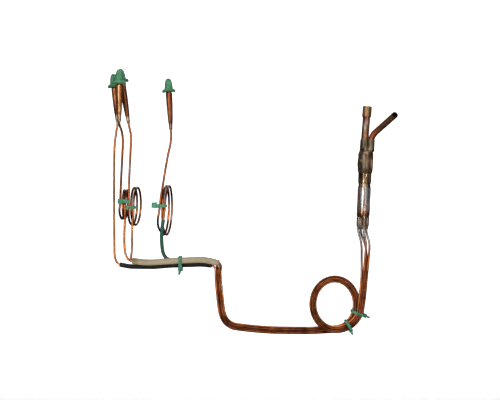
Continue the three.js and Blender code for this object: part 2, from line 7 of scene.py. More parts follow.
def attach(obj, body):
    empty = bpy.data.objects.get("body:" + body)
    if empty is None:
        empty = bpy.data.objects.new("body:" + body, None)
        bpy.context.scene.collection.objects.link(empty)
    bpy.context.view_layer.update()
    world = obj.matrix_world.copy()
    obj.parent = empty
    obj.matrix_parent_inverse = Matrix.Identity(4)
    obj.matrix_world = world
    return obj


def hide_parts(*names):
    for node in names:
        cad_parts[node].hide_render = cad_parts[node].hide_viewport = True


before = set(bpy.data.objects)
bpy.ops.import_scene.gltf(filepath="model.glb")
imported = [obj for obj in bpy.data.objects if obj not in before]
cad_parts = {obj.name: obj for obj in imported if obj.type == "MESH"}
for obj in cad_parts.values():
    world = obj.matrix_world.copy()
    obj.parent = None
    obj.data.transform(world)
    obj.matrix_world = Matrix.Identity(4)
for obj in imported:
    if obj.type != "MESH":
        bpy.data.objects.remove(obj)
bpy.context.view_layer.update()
mm = 0.001


def linear(hexText):  # sRGB hex to linear RGBA
    values = [int(hexText[i:i + 2], 16) / 255 for i in (1, 3, 5)]
    return [v / 12.92 if v <= 0.04045 else ((v + 0.055) / 1.055) ** 2.4 for v in values] + [1.0]


def deselectAll():
    if bpy.context.mode != "OBJECT":
        bpy.ops.object.mode_set(mode="OBJECT")
    bpy.ops.object.select_all(action="DESELECT")


def pick(*objects):
    deselectAll()
    for item in objects:
        item.select_set(True)
    bpy.context.view_layer.objects.active = objects[0]


def selectVertices(obj, test):  # in edit mode, only the vertices that pass the test
    bpy.ops.mesh.select_all(action="DESELECT")
    bpy.ops.object.mode_set(mode="OBJECT")
    for vertex in obj.data.vertices:
        vertex.select = test(vertex)
    bpy.ops.object.mode_set(mode="EDIT")


def applyModifier(obj, kind, **settings):
    pick(obj)
    modifier = obj.modifiers.new(kind.title(), kind)
    for key, value in settings.items():
        setattr(modifier, key, value)
    bpy.ops.object.modifier_apply(modifier=modifier.name)


def smoothed(obj, degrees=40):
    pick(obj)
    bpy.ops.object.shade_smooth_by_angle(angle=math.radians(degrees))


def placed(obj, matrix):  # moves a piece made about the origin, and leaves its place in its mesh
    pick(obj)
    obj.matrix_world = matrix
    bpy.ops.object.transform_apply(location=True, rotation=True, scale=True)
    return obj


def joined(name, *objects):
    pick(*objects)
    if len(objects) > 1:
        bpy.ops.object.join()
    result = bpy.context.view_layer.objects.active
    result.name = name
    result.data.name = name
    return result


def axisFrame(origin, along, across=None):  # Z is along, and X is as near across as it can be
    z = Vector(along).normalized()
    x = Vector(across) if across else (Vector((1, 0, 0)) if abs(z.x) < 0.9 else Vector((0, 0, 1)))
    x = (x - z * x.dot(z)).normalized()
    y = z.cross(x)
    turn = Matrix((x, y, z)).transposed().to_4x4()
    return Matrix.Translation(Vector(origin)) @ turn


def outward(obj):
    pick(obj)
    bpy.ops.object.mode_set(mode="EDIT")
    bpy.ops.mesh.select_all(action="SELECT")
    bpy.ops.mesh.remove_doubles(threshold=0.00001)
    bpy.ops.mesh.normals_make_consistent(inside=False)
    bpy.ops.object.mode_set(mode="OBJECT")


# A turned piece, as a circle extruded ring by ring. rings are (radius, height) in mm.
# An end on the axis becomes a pole, and two open ends are bridged into a wall.
def turnedPiece(name, rings, sides=48):
    poleFirst, poleLast = rings[0][0] == 0, rings[-1][0] == 0
    open_ = rings[1 if poleFirst else 0:-1 if poleLast else None]
    radius, height = open_[0]
    deselectAll()
    bpy.ops.mesh.primitive_circle_add(vertices=sides, radius=radius * mm, location=(0, 0, height * mm))
    obj = bpy.context.object
    bpy.ops.object.transform_apply(location=True, rotation=False, scale=False)
    bpy.ops.object.mode_set(mode="EDIT")
    bpy.ops.mesh.select_all(action="SELECT")
    for nextRadius, nextHeight in open_[1:]:
        bpy.ops.mesh.extrude_region_move(TRANSFORM_OT_translate={"value": (0, 0, (nextHeight - height) * mm)})
        share = nextRadius / radius
        bpy.ops.transform.resize(value=(share, share, 1), center_override=(0, 0, nextHeight * mm))
        radius, height = nextRadius, nextHeight
    if poleLast:
        bpy.ops.mesh.extrude_region_move(TRANSFORM_OT_translate={"value": (0, 0, (rings[-1][1] - height) * mm)})
        bpy.ops.mesh.merge(type="CENTER")
    if poleFirst:
        selectVertices(obj, lambda vertex: vertex.index < sides)
        bpy.ops.mesh.extrude_region_move(
            TRANSFORM_OT_translate={"value": (0, 0, (rings[0][1] - open_[0][1]) * mm)})
        bpy.ops.mesh.merge(type="CENTER")
    if not poleFirst and not poleLast:
        bpy.ops.mesh.select_mode(type="EDGE")
        bpy.ops.mesh.select_all(action="DESELECT")
        bpy.ops.mesh.select_non_manifold(use_boundary=True)
        bpy.ops.mesh.bridge_edge_loops()
        bpy.ops.mesh.select_mode(type="VERT")
    bpy.ops.object.mode_set(mode="OBJECT")
    obj.name = name
    outward(obj)
    return obj


def smoothLine(points, step):  # a centripetal curve through points in mm, sampled every step mm or so
    knots = [Vector(p) for p in points]
    first = knots[0] * 2 - knots[1]
    last = knots[-1] * 2 - knots[-2]
    knots = [first, *knots, last]
    line = []
    for i in range(1, len(knots) - 2):
        p0, p1, p2, p3 = knots[i - 1:i + 3]
        t0 = 0.0
        t1 = t0 + math.sqrt((p1 - p0).length)
        t2 = t1 + math.sqrt((p2 - p1).length)
        t3 = t2 + math.sqrt((p3 - p2).length)
        count = max(1, round((p2 - p1).length / step))
        for k in range(count):
            t = t1 + (t2 - t1) * k / count
            a1 = p0 * ((t1 - t) / (t1 - t0)) + p1 * ((t - t0) / (t1 - t0))
            a2 = p1 * ((t2 - t) / (t2 - t1)) + p2 * ((t - t1) / (t2 - t1))
            a3 = p2 * ((t3 - t) / (t3 - t2)) + p3 * ((t - t2) / (t3 - t2))
            b1 = a1 * ((t2 - t) / (t2 - t0)) + a2 * ((t - t0) / (t2 - t0))
            b2 = a2 * ((t3 - t) / (t3 - t1)) + a3 * ((t - t1) / (t3 - t1))
            line.append(b1 * ((t2 - t) / (t2 - t1)) + b2 * ((t - t1) / (t2 - t1)))
    line.append(knots[-2].copy())
    return line


def tubeAlong(name, line, radius, roundness):  # an open tube wall along a line, in mm
    curve = bpy.data.curves.new(name, "CURVE")
    curve.dimensions = "3D"
    curve.bevel_depth = radius * mm
    curve.bevel_resolution = roundness
    spline = curve.splines.new("POLY")
    spline.points.add(len(line) - 1)
    for point, place in zip(spline.points, line):
        point.co = (place.x * mm, place.y * mm, place.z * mm, 1)
    obj = bpy.data.objects.new(name, curve)
    bpy.context.collection.objects.link(obj)
    pick(obj)
    bpy.ops.object.convert(target="MESH")
    obj = bpy.context.object
    obj.name = name
    return obj


def smoothStep(value, low, high):
    t = min(max((value - low) / (high - low), 0), 1)
    return t * t * (3 - 2 * t)


def writeAttribute(obj, name, valueAt):  # one number per vertex for the material, from its place in mm
    attribute = obj.data.attributes.new(name, "FLOAT", "POINT")
    attribute.data.foreach_set("value", [valueAt(v.co / mm) for v in obj.data.vertices])


def newMaterial(name):
    material = bpy.data.materials.new(name)
    material.use_nodes = True
    tree = material.node_tree
    shader = tree.nodes["Principled BSDF"]
    return material, tree, shader


def fill(tree, node, settings):
    # A setting is a property of the node, the stops of a ramp, or a socket with what it holds or is fed by.
    for key, value in settings.items():
        if key == "stops":
            elements = node.color_ramp.elements
            while len(elements) < len(value):
                elements.new(0.5)
            for element, (position, color) in zip(elements, value):
                element.position = position
                element.color = linear(color)
        elif isinstance(value, bpy.types.NodeSocket):
            tree.links.new(value, node.inputs[key])
        elif key in node.inputs or isinstance(key, int):
            node.inputs[key].default_value = linear(value) if isinstance(value, str) else value
        else:
            setattr(node, key, value)


def addNode(tree, kind, settings=None, output=0):
    node = tree.nodes.new("ShaderNode" + kind)
    fill(tree, node, settings or {})
    return node.outputs[output]


def drawnCopperMaterial(name, bright, middle, dark):
    # Soft drawn copper: a thin brown oxide in clouds over warm metal, and specks where it was handled.
    material, tree, shader = newMaterial(name)
    place = addNode(tree, "TexCoord", None, "Object")
    clouds = addNode(tree, "TexNoise", {"Vector": place, "Scale": 60, "Detail": 5, "Roughness": 0.6})  # 16 mm
    specks = addNode(tree, "TexNoise", {"Vector": place, "Scale": 700, "Detail": 3, "Roughness": 0.6})  # 1 mm
    oxide = addNode(tree, "MixRGB", {"Fac": 0.2, "Color1": clouds, "Color2": specks})
    spread = addNode(tree, "MapRange", {"Value": oxide, "From Min": 0.35, "From Max": 0.65,
                                        "To Min": 0.34, "To Max": 0.66})
    # this value darkens the metal as tarnish, and lightens the coils as a painted highlight
    tarnish = addNode(tree, "Attribute", {"attribute_name": "tarnish"}, "Fac")
    shown = addNode(tree, "Math", {"operation": "ADD", 0: spread, 1: tarnish})
    metal = addNode(tree, "ValToRGB", {"Fac": shown, "stops": [(0.15, bright), (0.5, middle), (0.85, dark)]})
    silver = addNode(tree, "Attribute", {"attribute_name": "silver"}, "Fac")
    beads = addNode(tree, "TexNoise", {"Vector": place, "Scale": 260, "Detail": 4})
    wetted = addNode(tree, "MapRange", {"Value": beads, "From Min": 0.36, "From Max": 0.56})
    patchy = addNode(tree, "Math", {"operation": "MULTIPLY", 0: silver, 1: wetted})
    tin = addNode(tree, "ValToRGB", {"Fac": specks, "stops": [(0.3, "#7d776b"), (0.7, "#e0dccf")]})
    color = addNode(tree, "MixRGB", {"Fac": patchy, "Color1": metal, "Color2": tin})
    rough = addNode(tree, "MapRange", {"Value": shown, "To Min": 0.2, "To Max": 0.42})
    normal = addNode(tree, "Bump", {"Height": specks, "Distance": 0.00006, "Strength": 0.5})
    fill(tree, shader, {"Base Color": color, "Metallic": 1.0, "Roughness": rough, "Normal": normal})
    return material


# Its tints run from the hollows of the pattern to its heights. Run is how far patches are drawn down the tube.
def heatedCopperMaterial(name, tints, scale, run, seed, gloss, metalTints=("#8b8780", "#d6d3cb")):
    # Copper that a torch has been over: brown and grey scale with smears of bare metal, where attributes say so
    # tin, red cuprous oxide partly painted as an orange highlight, pale streaks that are painted highlights, and
    # soot partly painted as shade in bores, creases and steps.
    material, tree, shader = newMaterial(name)
    place = addNode(tree, "TexCoord", None, "Object")
    down = addNode(tree, "Mapping", {"Vector": place, "Scale": (1, 1, 1 / run), "Location": (seed, 0, 0)})
    clouds = addNode(tree, "TexNoise", {"Vector": down, "Scale": scale, "Detail": 6, "Roughness": 0.62,
                                        "Distortion": 0.6})
    color = addNode(tree, "ValToRGB", {"Fac": clouds, "stops": tints})
    flecks = addNode(tree, "TexNoise", {"Vector": place, "Scale": 900, "Detail": 4, "Roughness": 0.7})  # 1 mm
    crust = addNode(tree, "MapRange", {"Value": flecks, "From Min": 0.56, "From Max": 0.72, "To Max": 0.5})
    color = addNode(tree, "MixRGB", {"Fac": crust, "Color1": color, "Color2": "#2b241d"})
    drawn = addNode(tree, "Mapping", {"Vector": place, "Scale": (1, 1, 0.1), "Location": (seed, 0.1, 0)})
    smears = addNode(tree, "TexNoise", {"Vector": drawn, "Scale": 520, "Detail": 3})
    bare = addNode(tree, "MapRange", {"Value": smears, "From Min": 0.58, "From Max": 0.68, "To Max": 0.6})
    color = addNode(tree, "MixRGB", {"Fac": bare, "Color1": color, "Color2": "#d3a684"})
    patches = addNode(tree, "TexNoise", {"Vector": down, "Scale": 210, "Detail": 5, "Roughness": 0.65})
    # the pale tint is a painted highlight, and the dark one is soot in places and painted shade in bores, creases
    # and steps
    for attribute, low, high, tint in (("silver", 0.3, 0.46, None), ("warm", 0.34, 0.56, "#c0683f"),
                                       ("cream", 0.2, 0.4, "#f0cf9e"), ("soot", 0.75, 0.3, "#1b1612")):
        level = addNode(tree, "Attribute", {"attribute_name": attribute}, "Fac")
        shown = addNode(tree, "MapRange", {"Value": patches, "From Min": low, "From Max": high})
        mask = addNode(tree, "Math", {"operation": "MULTIPLY", 0: level, 1: shown, "use_clamp": True})
        if tint is None:
            stops = [(0.36, metalTints[0]), (0.6, metalTints[1])]
            tint = addNode(tree, "ValToRGB", {"Fac": smears, "stops": stops})
        color = addNode(tree, "MixRGB", {"Fac": mask, "Color1": color, "Color2": tint})
    rough = addNode(tree, "MapRange", {"Value": clouds, "From Min": 0.3, "From Max": 0.7, "To Min": gloss - 0.1,
                                       "To Max": gloss + 0.14})
    relief = addNode(tree, "MixRGB", {"Fac": 0.26, "Color1": clouds, "Color2": flecks})
    normal = addNode(tree, "Bump", {"Height": relief, "Distance": 0.0006, "Strength": 0.55})
    fill(tree, shader, {"Base Color": color, "Metallic": 0.94, "Roughness": rough, "Normal": normal})
    return material


def brazeMaterial(name, low, high, flux, fluxShare):
    # Silver-phosphor braze as it froze: dull, lumpy, with glassy yellow flux in the hollows.
    material, tree, shader = newMaterial(name)
    place = addNode(tree, "TexCoord", None, "Object")
    lumps = addNode(tree, "TexNoise", {"Vector": place, "Scale": 420, "Detail": 5, "Roughness": 0.65,
                                       "Distortion": 0.4})  # beads of 2 to 3 mm
    metal = addNode(tree, "ValToRGB", {"Fac": lumps, "stops": [(0.34, low), (0.62, high)]})
    glass = addNode(tree, "TexNoise", {"Vector": place, "Scale": 260, "Detail": 3, "Roughness": 0.6})
    pooled = addNode(tree, "MapRange", {"Value": glass, "From Min": 0.48, "From Max": 0.6, "To Max": fluxShare})
    color = addNode(tree, "MixRGB", {"Fac": pooled, "Color1": metal, "Color2": flux})
    metallic = addNode(tree, "MapRange", {"Value": glass, "From Min": 0.48, "From Max": 0.6, "To Min": 0.95,
                                          "To Max": 0.4})
    rough = addNode(tree, "MapRange", {"Value": lumps, "From Min": 0.3, "From Max": 0.7, "To Min": 0.5,
                                       "To Max": 0.26})
    normal = addNode(tree, "Bump", {"Height": lumps, "Distance": 0.0014, "Strength": 0.9})
    fill(tree, shader, {"Base Color": color, "Metallic": metallic, "Roughness": rough, "Normal": normal})
    return material


def mouldedPlasticMaterial(name, light, deep, grime, gloss, translucent):
    # Injection-moulded polyethylene or nylon: even colour, soft gloss, faint flow marks and handling grime.
    material, tree, shader = newMaterial(name)
    place = addNode(tree, "TexCoord", None, "Object")
    flow = addNode(tree, "TexNoise", {"Vector": place, "Scale": 180, "Detail": 4, "Roughness": 0.6})  # 5 mm
    color = addNode(tree, "ValToRGB", {"Fac": flow, "stops": [(0.34, deep), (0.62, light)]})
    rubbed = addNode(tree, "TexNoise", {"Vector": place, "Scale": 520, "Detail": 5, "Roughness": 0.7})
    dirt = addNode(tree, "MapRange", {"Value": rubbed, "From Min": 0.54, "From Max": 0.72, "To Max": 0.55})
    color = addNode(tree, "MixRGB", {"Fac": dirt, "Color1": color, "Color2": grime})
    rough = addNode(tree, "MapRange", {"Value": rubbed, "From Min": 0.3, "From Max": 0.75,
                                       "To Min": gloss - 0.06, "To Max": gloss + 0.14})
    normal = addNode(tree, "Bump", {"Height": rubbed, "Distance": 0.00012, "Strength": 0.5})
    fill(tree, shader, {"Base Color": color, "Roughness": rough, "IOR": 1.5, "Subsurface Weight": translucent,
                        "Subsurface Radius": (0.001, 0.0016, 0.0012), "Normal": normal})
    return material


def sleeveMaterial(name, light, deep, stain, grain, roughness):
    # Extruded soft insulation: matt, with a fine skin grain, scuffs and stains that flux and oil have left.
    material, tree, shader = newMaterial(name)
    place = addNode(tree, "TexCoord", None, "Object")
    skin = addNode(tree, "TexNoise", {"Vector": place, "Scale": grain, "Detail": 5, "Roughness": 0.7})
    color = addNode(tree, "ValToRGB", {"Fac": skin, "stops": [(0.3, deep), (0.66, light)]})
    drawn = addNode(tree, "Mapping", {"Vector": place, "Scale": (0.35, 1, 1), "Location": (0.1, 0, 0)})
    scuffs = addNode(tree, "TexNoise", {"Vector": drawn, "Scale": 190, "Detail": 5, "Roughness": 0.6})
    thin = addNode(tree, "MapRange", {"Value": scuffs, "From Min": 0.54, "From Max": 0.7, "To Max": 0.4})
    color = addNode(tree, "MixRGB", {"Fac": thin, "Color1": color, "Color2": stain})
    soiled = addNode(tree, "Attribute", {"attribute_name": "stain"}, "Fac")
    thick = addNode(tree, "MapRange", {"Value": scuffs, "From Min": 0.3, "From Max": 0.55})
    mask = addNode(tree, "Math", {"operation": "MULTIPLY", 0: soiled, 1: thick, "use_clamp": True})
    color = addNode(tree, "MixRGB", {"Fac": mask, "Color1": color, "Color2": stain})
    relief = addNode(tree, "MixRGB", {"Fac": 0.45, "Color1": skin, "Color2": scuffs})
    normal = addNode(tree, "Bump", {"Height": relief, "Distance": 0.0007, "Strength": 0.6})
    fill(tree, shader, {"Base Color": color, "Roughness": roughness, "Specular IOR Level": 0.3,
                        "Normal": normal})
    return material


def braidedSleeveMaterial(name, light, deep):
    # Braided varnished glass sleeving: yarns crossing at 45 degrees, 1 mm apart.
    material, tree, shader = newMaterial(name)
    place = addNode(tree, "TexCoord", None, "Object")
    crossed = []
    for turn in (-45, 45):
        yarn = addNode(tree, "Mapping", {"Vector": place, "Rotation": (0, math.radians(turn), 0)})
        crossed.append(addNode(tree, "TexWave", {"Vector": yarn, "Scale": 160, "Distortion": 0.6}, "Fac"))
    braid = addNode(tree, "Math", {"operation": "MULTIPLY", 0: crossed[0], 1: crossed[1]})
    color = addNode(tree, "ValToRGB", {"Fac": braid, "stops": [(0.1, deep), (0.5, light)]})
    normal = addNode(tree, "Bump", {"Height": braid, "Distance": 0.0004, "Strength": 0.7})
    fill(tree, shader, {"Base Color": color, "Roughness": 0.45, "Normal": normal})
    return material


def wireClothMaterial(name):
    # Woven stainless wire, 0.6 mm spacing, drawn as a raised check.
    material, tree, shader = newMaterial(name)
    place = addNode(tree, "TexCoord", None, "Object")
    weave = addNode(tree, "TexChecker", {"Vector": place, "Scale": 1600}, "Fac")
    color = addNode(tree, "MixRGB", {"Fac": weave, "Color1": "#6d6d6a", "Color2": "#b9b9b4"})
    normal = addNode(tree, "Bump", {"Height": weave, "Distance": 0.0003})
    fill(tree, shader, {"Base Color": color, "Metallic": 1.0, "Roughness": 0.4, "Normal": normal})
    return material


def turnedBrassMaterial(name):
    # Turned brass: fine rings round the axis.
    material, tree, shader = newMaterial(name)
    place = addNode(tree, "TexCoord", None, "Object")
    rings = addNode(tree, "TexWave", {"Vector": place, "bands_direction": "Z", "Scale": 900,
                                      "Distortion": 1.5}, "Fac")
    color = addNode(tree, "MixRGB", {"Fac": rings, "Color1": "#a8853c", "Color2": "#d9bb6c"})
    normal = addNode(tree, "Bump", {"Height": rings, "Distance": 0.00005})
    fill(tree, shader, {"Base Color": color, "Metallic": 1.0, "Roughness": 0.3, "Normal": normal})
    return material


materials = {
    "capillary": drawnCopperMaterial("drawnCopper", "#f4a264", "#b0633a", "#431e10"),
    "stub": heatedCopperMaterial("annealedStubCopper",
                                 [(0.34, "#3f1e10"), (0.46, "#87492a"), (0.56, "#ad6c40"), (0.7, "#d6a078")],
                                 330, 14, 0.2, 0.34),
    "goldStub": heatedCopperMaterial("brightStubCopper",
                                     [(0.34, "#8a5328"), (0.45, "#c08549"), (0.56, "#e0b07c"), (0.68, "#f6dcc0")],
                                     330, 14, 0.5, 0.26),
    "socket": heatedCopperMaterial("socketCopper",
                                   [(0.3, "#6a4a33"), (0.45, "#96704f"), (0.6, "#ab8560"), (0.75, "#8d8462")],
                                   160, 2, 0.7, 0.4),
    "line": heatedCopperMaterial("feedLineCopper",
                                 [(0.3, "#6b3423"), (0.44, "#92583c"), (0.56, "#877055"), (0.72, "#b98a62")],
                                 140, 2.2, 0.9, 0.36),
    "branch": heatedCopperMaterial("branchCopper",
                                   [(0.3, "#452a1e"), (0.46, "#6b4431"), (0.6, "#84573f"), (0.75, "#977055")],
                                   150, 1.5, 0.4, 0.46),
    "upperShell": heatedCopperMaterial("torchedShellCopper",
                                       [(0.3, "#3f362c"), (0.44, "#6b5a49"), (0.56, "#83705b"), (0.74, "#b99c7c")],
                                       150, 2.2, 0.1, 0.38),
    "lowerShell": heatedCopperMaterial("tinnedShellCopper",
                                       [(0.3, "#4a3322"), (0.44, "#77553c"), (0.56, "#94775c"), (0.74, "#c9b79f")],
                                       120, 3, 0.6, 0.24, ("#8d8985", "#e6e4df")),
    "braze": brazeMaterial("silverBraze", "#4f4a40", "#b8b1a2", "#8a7c3a", 0.85),
    "yellowBraze": brazeMaterial("fluxedBraze", "#2e2d28", "#b5ad86", "#8f7f34", 0.7),
    "darkBraze": brazeMaterial("torchedBraze", "#2b211a", "#85705a", "#3d3122", 0.8),
    "green": mouldedPlasticMaterial("mouldedPolyethylene", "#4c8c62", "#2c6545", "#26382c", 0.42, 0.04),
    "tie": mouldedPlasticMaterial("mouldedNylon", "#448f6c", "#256447", "#173a29", 0.4, 0.03),
    "beige": sleeveMaterial("foamSleeve", "#b3a588", "#8f8168", "#6c6430", 900, 0.78),
    "black": sleeveMaterial("rubberSleeve", "#1a1714", "#0d0b0a", "#090807", 1100, 0.66),
    "darkGreen": braidedSleeveMaterial("braidedSleeve", "#2f7a60", "#12382b"),
    "wire": wireClothMaterial("wovenStainless"),
    "brass": turnedBrassMaterial("turnedBrass"),
}
print("materials made:", len(materials))


def finished(obj, name, material, slot, body, *nodes):  # names a piece, finishes it and ties it to the frame
    obj.name = name
    obj.data.name = name
    obj.data.materials.clear()
    obj.data.materials.append(materials[material])
    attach(obj, body)
    if nodes:
        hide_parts(*nodes)
    return obj


def band(value, middle, width):  # one at the middle, fading away on both sides
    return math.exp(-((value - middle) / width) ** 2)


def heatMarks(obj, **values):  # what the heated copper reads, each nought if not given
    for name in ("silver", "warm", "cream", "soot"):
        valueAt = values.get(name, lambda place: 0.0)
        writeAttribute(obj, name, valueAt)


cameraShape = {
    "place": (-0.14675, -1.2, -0.117),
    "lens": 69.12,  # takes in 625 mm at the object
}
studio = {
    "wallDistance": 1.9, "floorHeight": -0.8, "spread": 3.4, "wallLevel": 1.05,
    "front": 0.24, "sides": 0.08, "above": 0.16,  # what the metal mirrors where no lamp stands
    "lamps": [  # place, width and height in m, watts
        ((-0.62, -1.15, -0.1), 0.12, 1.3, 6.5),  # tall boxes draw a line down every upright tube
        ((0.42, -1.2, -0.1), 0.08, 1.3, 2.6),
        ((-0.147, -0.85, 0.7), 1.1, 0.14, 6.5),  # and a long one along every level tube
        ((-0.15, 1.2, 0.65), 1.1, 0.3, 4),
    ],
}


def makeStudio():
    camera = bpy.data.cameras.new("camera")
    camera.lens = cameraShape["lens"]
    cameraObject = bpy.data.objects.new("camera", camera)
    bpy.context.collection.objects.link(cameraObject)
    cameraObject.location = cameraShape["place"]
    cameraObject.rotation_euler = (math.radians(90), 0, 0)
    bpy.context.scene.camera = cameraObject
    bpy.context.scene.view_settings.view_transform = "Standard"

    world = bpy.data.worlds.new("studio")
    bpy.context.scene.world = world
    world.use_nodes = True
    tree = world.node_tree
    # A dim room, palest in front of the part and overhead, so that round metal gets its dark edges.
    direction = addNode(tree, "TexCoord", None, "Generated")
    depth = addNode(tree, "SeparateXYZ", {"Vector": direction}, "Y")
    height = addNode(tree, "SeparateXYZ", {"Vector": direction}, "Z")
    front = addNode(tree, "MapRange", {"Value": depth, "From Min": -0.9, "From Max": -0.25,
                                       "To Min": studio["front"], "To Max": studio["sides"]})
    above = addNode(tree, "MapRange", {"Value": height, "From Min": 0.3, "From Max": 0.9,
                                       "To Max": studio["above"]})
    level = addNode(tree, "Math", {"operation": "ADD", 0: front, 1: above})
    tree.links.new(level, tree.nodes["Background"].inputs["Color"])

    for place, width, height, power in studio["lamps"]:
        lamp = bpy.data.lights.new("softBox", "AREA")
        lamp.shape = "RECTANGLE"
        lamp.size = width
        lamp.size_y = height
        lamp.energy = power
        lampObject = bpy.data.objects.new("softBox", lamp)
        bpy.context.collection.objects.link(lampObject)
        lampObject.location = place
        aim = Vector((-0.147, 0, -0.117)) - Vector(place)
        lampObject.rotation_euler = aim.to_track_quat("-Z", "Y").to_euler()

    # A pale paper sweep: the floor well below the part, and its lit wall far behind.
    material, tree, shader = newMaterial("palePaper")
    place = addNode(tree, "TexCoord", None, "Object")
    height = addNode(tree, "SeparateXYZ", {"Vector": place}, "Z")
    low = studio["floorHeight"]
    lit = addNode(tree, "MapRange", {"Value": height, "From Min": low + 0.02, "From Max": low + 0.14,
                                     "To Min": 0.25, "To Max": studio["wallLevel"]})
    fill(tree, shader, {"Base Color": "#f4f4f2", "Roughness": 0.9, "Emission Color": "#ffffff",
                        "Emission Strength": lit})
    deselectAll()
    half = studio["spread"] / 2
    wallAt = studio["wallDistance"]
    bpy.ops.mesh.primitive_plane_add(size=studio["spread"], location=(-0.147, wallAt - half, low))
    floor = bpy.context.object
    bpy.ops.object.transform_apply(location=True)
    bpy.ops.object.mode_set(mode="EDIT")
    selectVertices(floor, lambda vertex: vertex.co.y > wallAt - 0.01)
    bpy.ops.mesh.select_mode(type="EDGE")
    bpy.ops.mesh.extrude_region_move(TRANSFORM_OT_translate={"value": (0, 0, 1.7)})
    bpy.ops.mesh.select_all(action="SELECT")
    bpy.ops.mesh.bevel(offset=0.1, segments=12)
    bpy.ops.mesh.select_mode(type="VERT")
    bpy.ops.object.mode_set(mode="OBJECT")
    floor.name = "paperSweep"
    floor.visible_glossy = False  # round metal keeps its dark edges against the paper
    floor.data.materials.append(material)
    smoothed(floor, 60)


makeStudio()
print("studio made")


def turnY(degrees, place=(0, 0, 0)):  # a frame at a place in mm, leaning about Y
    return Matrix.Translation(Vector(place) * mm) @ Matrix.Rotation(math.radians(degrees), 4, "Y")


def clouded(obj, size, strength, subdivisions=0):  # uneven by hand: soft lumps of a size, in mm
    texture = bpy.data.textures.new("unevenness", "CLOUDS")
    texture.noise_scale = size * mm
    texture.noise_depth = 2
    if subdivisions:
        applyModifier(obj, "SUBSURF", levels=subdivisions, render_levels=subdivisions)
    applyModifier(obj, "DISPLACE", texture=texture, strength=strength * mm, mid_level=0.5,
                  texture_coords="LOCAL")


def melted(obj, voxel, rounds):  # runs overlapping solids together and rounds where they meet
    applyModifier(obj, "REMESH", mode="VOXEL", voxel_size=voxel * mm)
    applyModifier(obj, "SMOOTH", factor=0.5, iterations=rounds)


# The inlet line and the socket slipped over its end.
inlet = {
    "lean": 4.5,
    "tubeWall": 0.8, "tubeRadius": 4.76, "tubeTop": -9, "tubeLow": -59,
    "socket": [  # its wall, from the bore's foot up the bore, over the lip and down the outside
        (4.8, -8.7), (4.8, -0.5), (4.95, -0.12), (5.2, 0), (5.55, -0.1), (5.78, -0.5), (5.72, -3),
        (5.68, -7), (5.75, -10.5), (5.8, -12.4), (5.78, -12.9), (5.6, -13.15), (5.2, -13.2), (4.9, -13.1),
        (4.82, -12.6),
    ],
}


# How much a place lies on a streak. Its start and end are each across and down, in mm.
def streak(across, down, start, end, width):
    share = (down - start[1]) / (end[1] - start[1])
    middle = start[0] + (end[0] - start[0]) * share
    ends = smoothStep(down, start[1] - 1, start[1] + 1) * (1 - smoothStep(down, end[1] - 1, end[1] + 1))
    return math.exp(-((across - middle) / width) ** 2) * ends


def makeInlet():
    place = turnY(inlet["lean"])
    socket = turnedPiece("inletSocket", inlet["socket"])
    clouded(socket, 6, 0.14)
    placed(socket, place)
    smoothed(socket)
    heatMarks(
        socket,
        warm=lambda p: smoothStep(-p.z, 10.6, 12.2) * 1.2,
        soot=lambda p: 0.5 * smoothStep(-p.z, 12.4, 13.2),
    )
    finished(socket, "inletSocketWall", "socket", "aged_copper", "root", "inlet_socket")

    radius, top, low = inlet["tubeRadius"], inlet["tubeTop"], inlet["tubeLow"]
    bore = radius - inlet["tubeWall"]
    rings = [(bore, low), (bore, top - 0.2), (bore + 0.25, top), (radius - 0.2, top), (radius, top - 0.2)]
    rings += [(radius, top - 5 * step) for step in range(1, 10)] + [(radius, low)]
    tube = turnedPiece("inletTube", rings)
    clouded(tube, 9, 0.16)
    placed(tube, place)
    smoothed(tube)
    heatMarks(
        tube,
        # painted shade just under the socket's lip, and darker down the tube's left side
        soot=lambda p: 0.85 * (1 - smoothStep(-p.z, 13, 16)) + 0.3 * smoothStep(-p.x, 1, 7),
        warm=lambda p: 0.45 * smoothStep(-p.z, 26, 34) * smoothStep(p.x, -4, 0),
        silver=lambda p: 0.35 * smoothStep(-p.z, 16, 20) * (1 - smoothStep(-p.z, 27, 33)),
        # a painted highlight: a thin pale line down the tube, just right of its middle
        cream=lambda p: 0.9 * streak(p.x, -p.z, (2.2, 17), (1.4, 31), 0.5),
    )
    finished(tube, "inletTubeWall", "line", "aged_copper", "root", "inlet_tube")


branch = {
    "radius": 3.97, "wall": 0.8, "sawNormal": (0.363, -0.859, 0.365), "sawSetback": 2,
    "route": [
        (3.6, -5, -54), (3.9, -5, -47.5), (4.5, -5.2, -41), (7, -7.2, -35.3), (13.6, -12.4, -28.7),
        (21.6, -19.2, -21.3), (31.7, -27.8, -11.8),
    ],
}


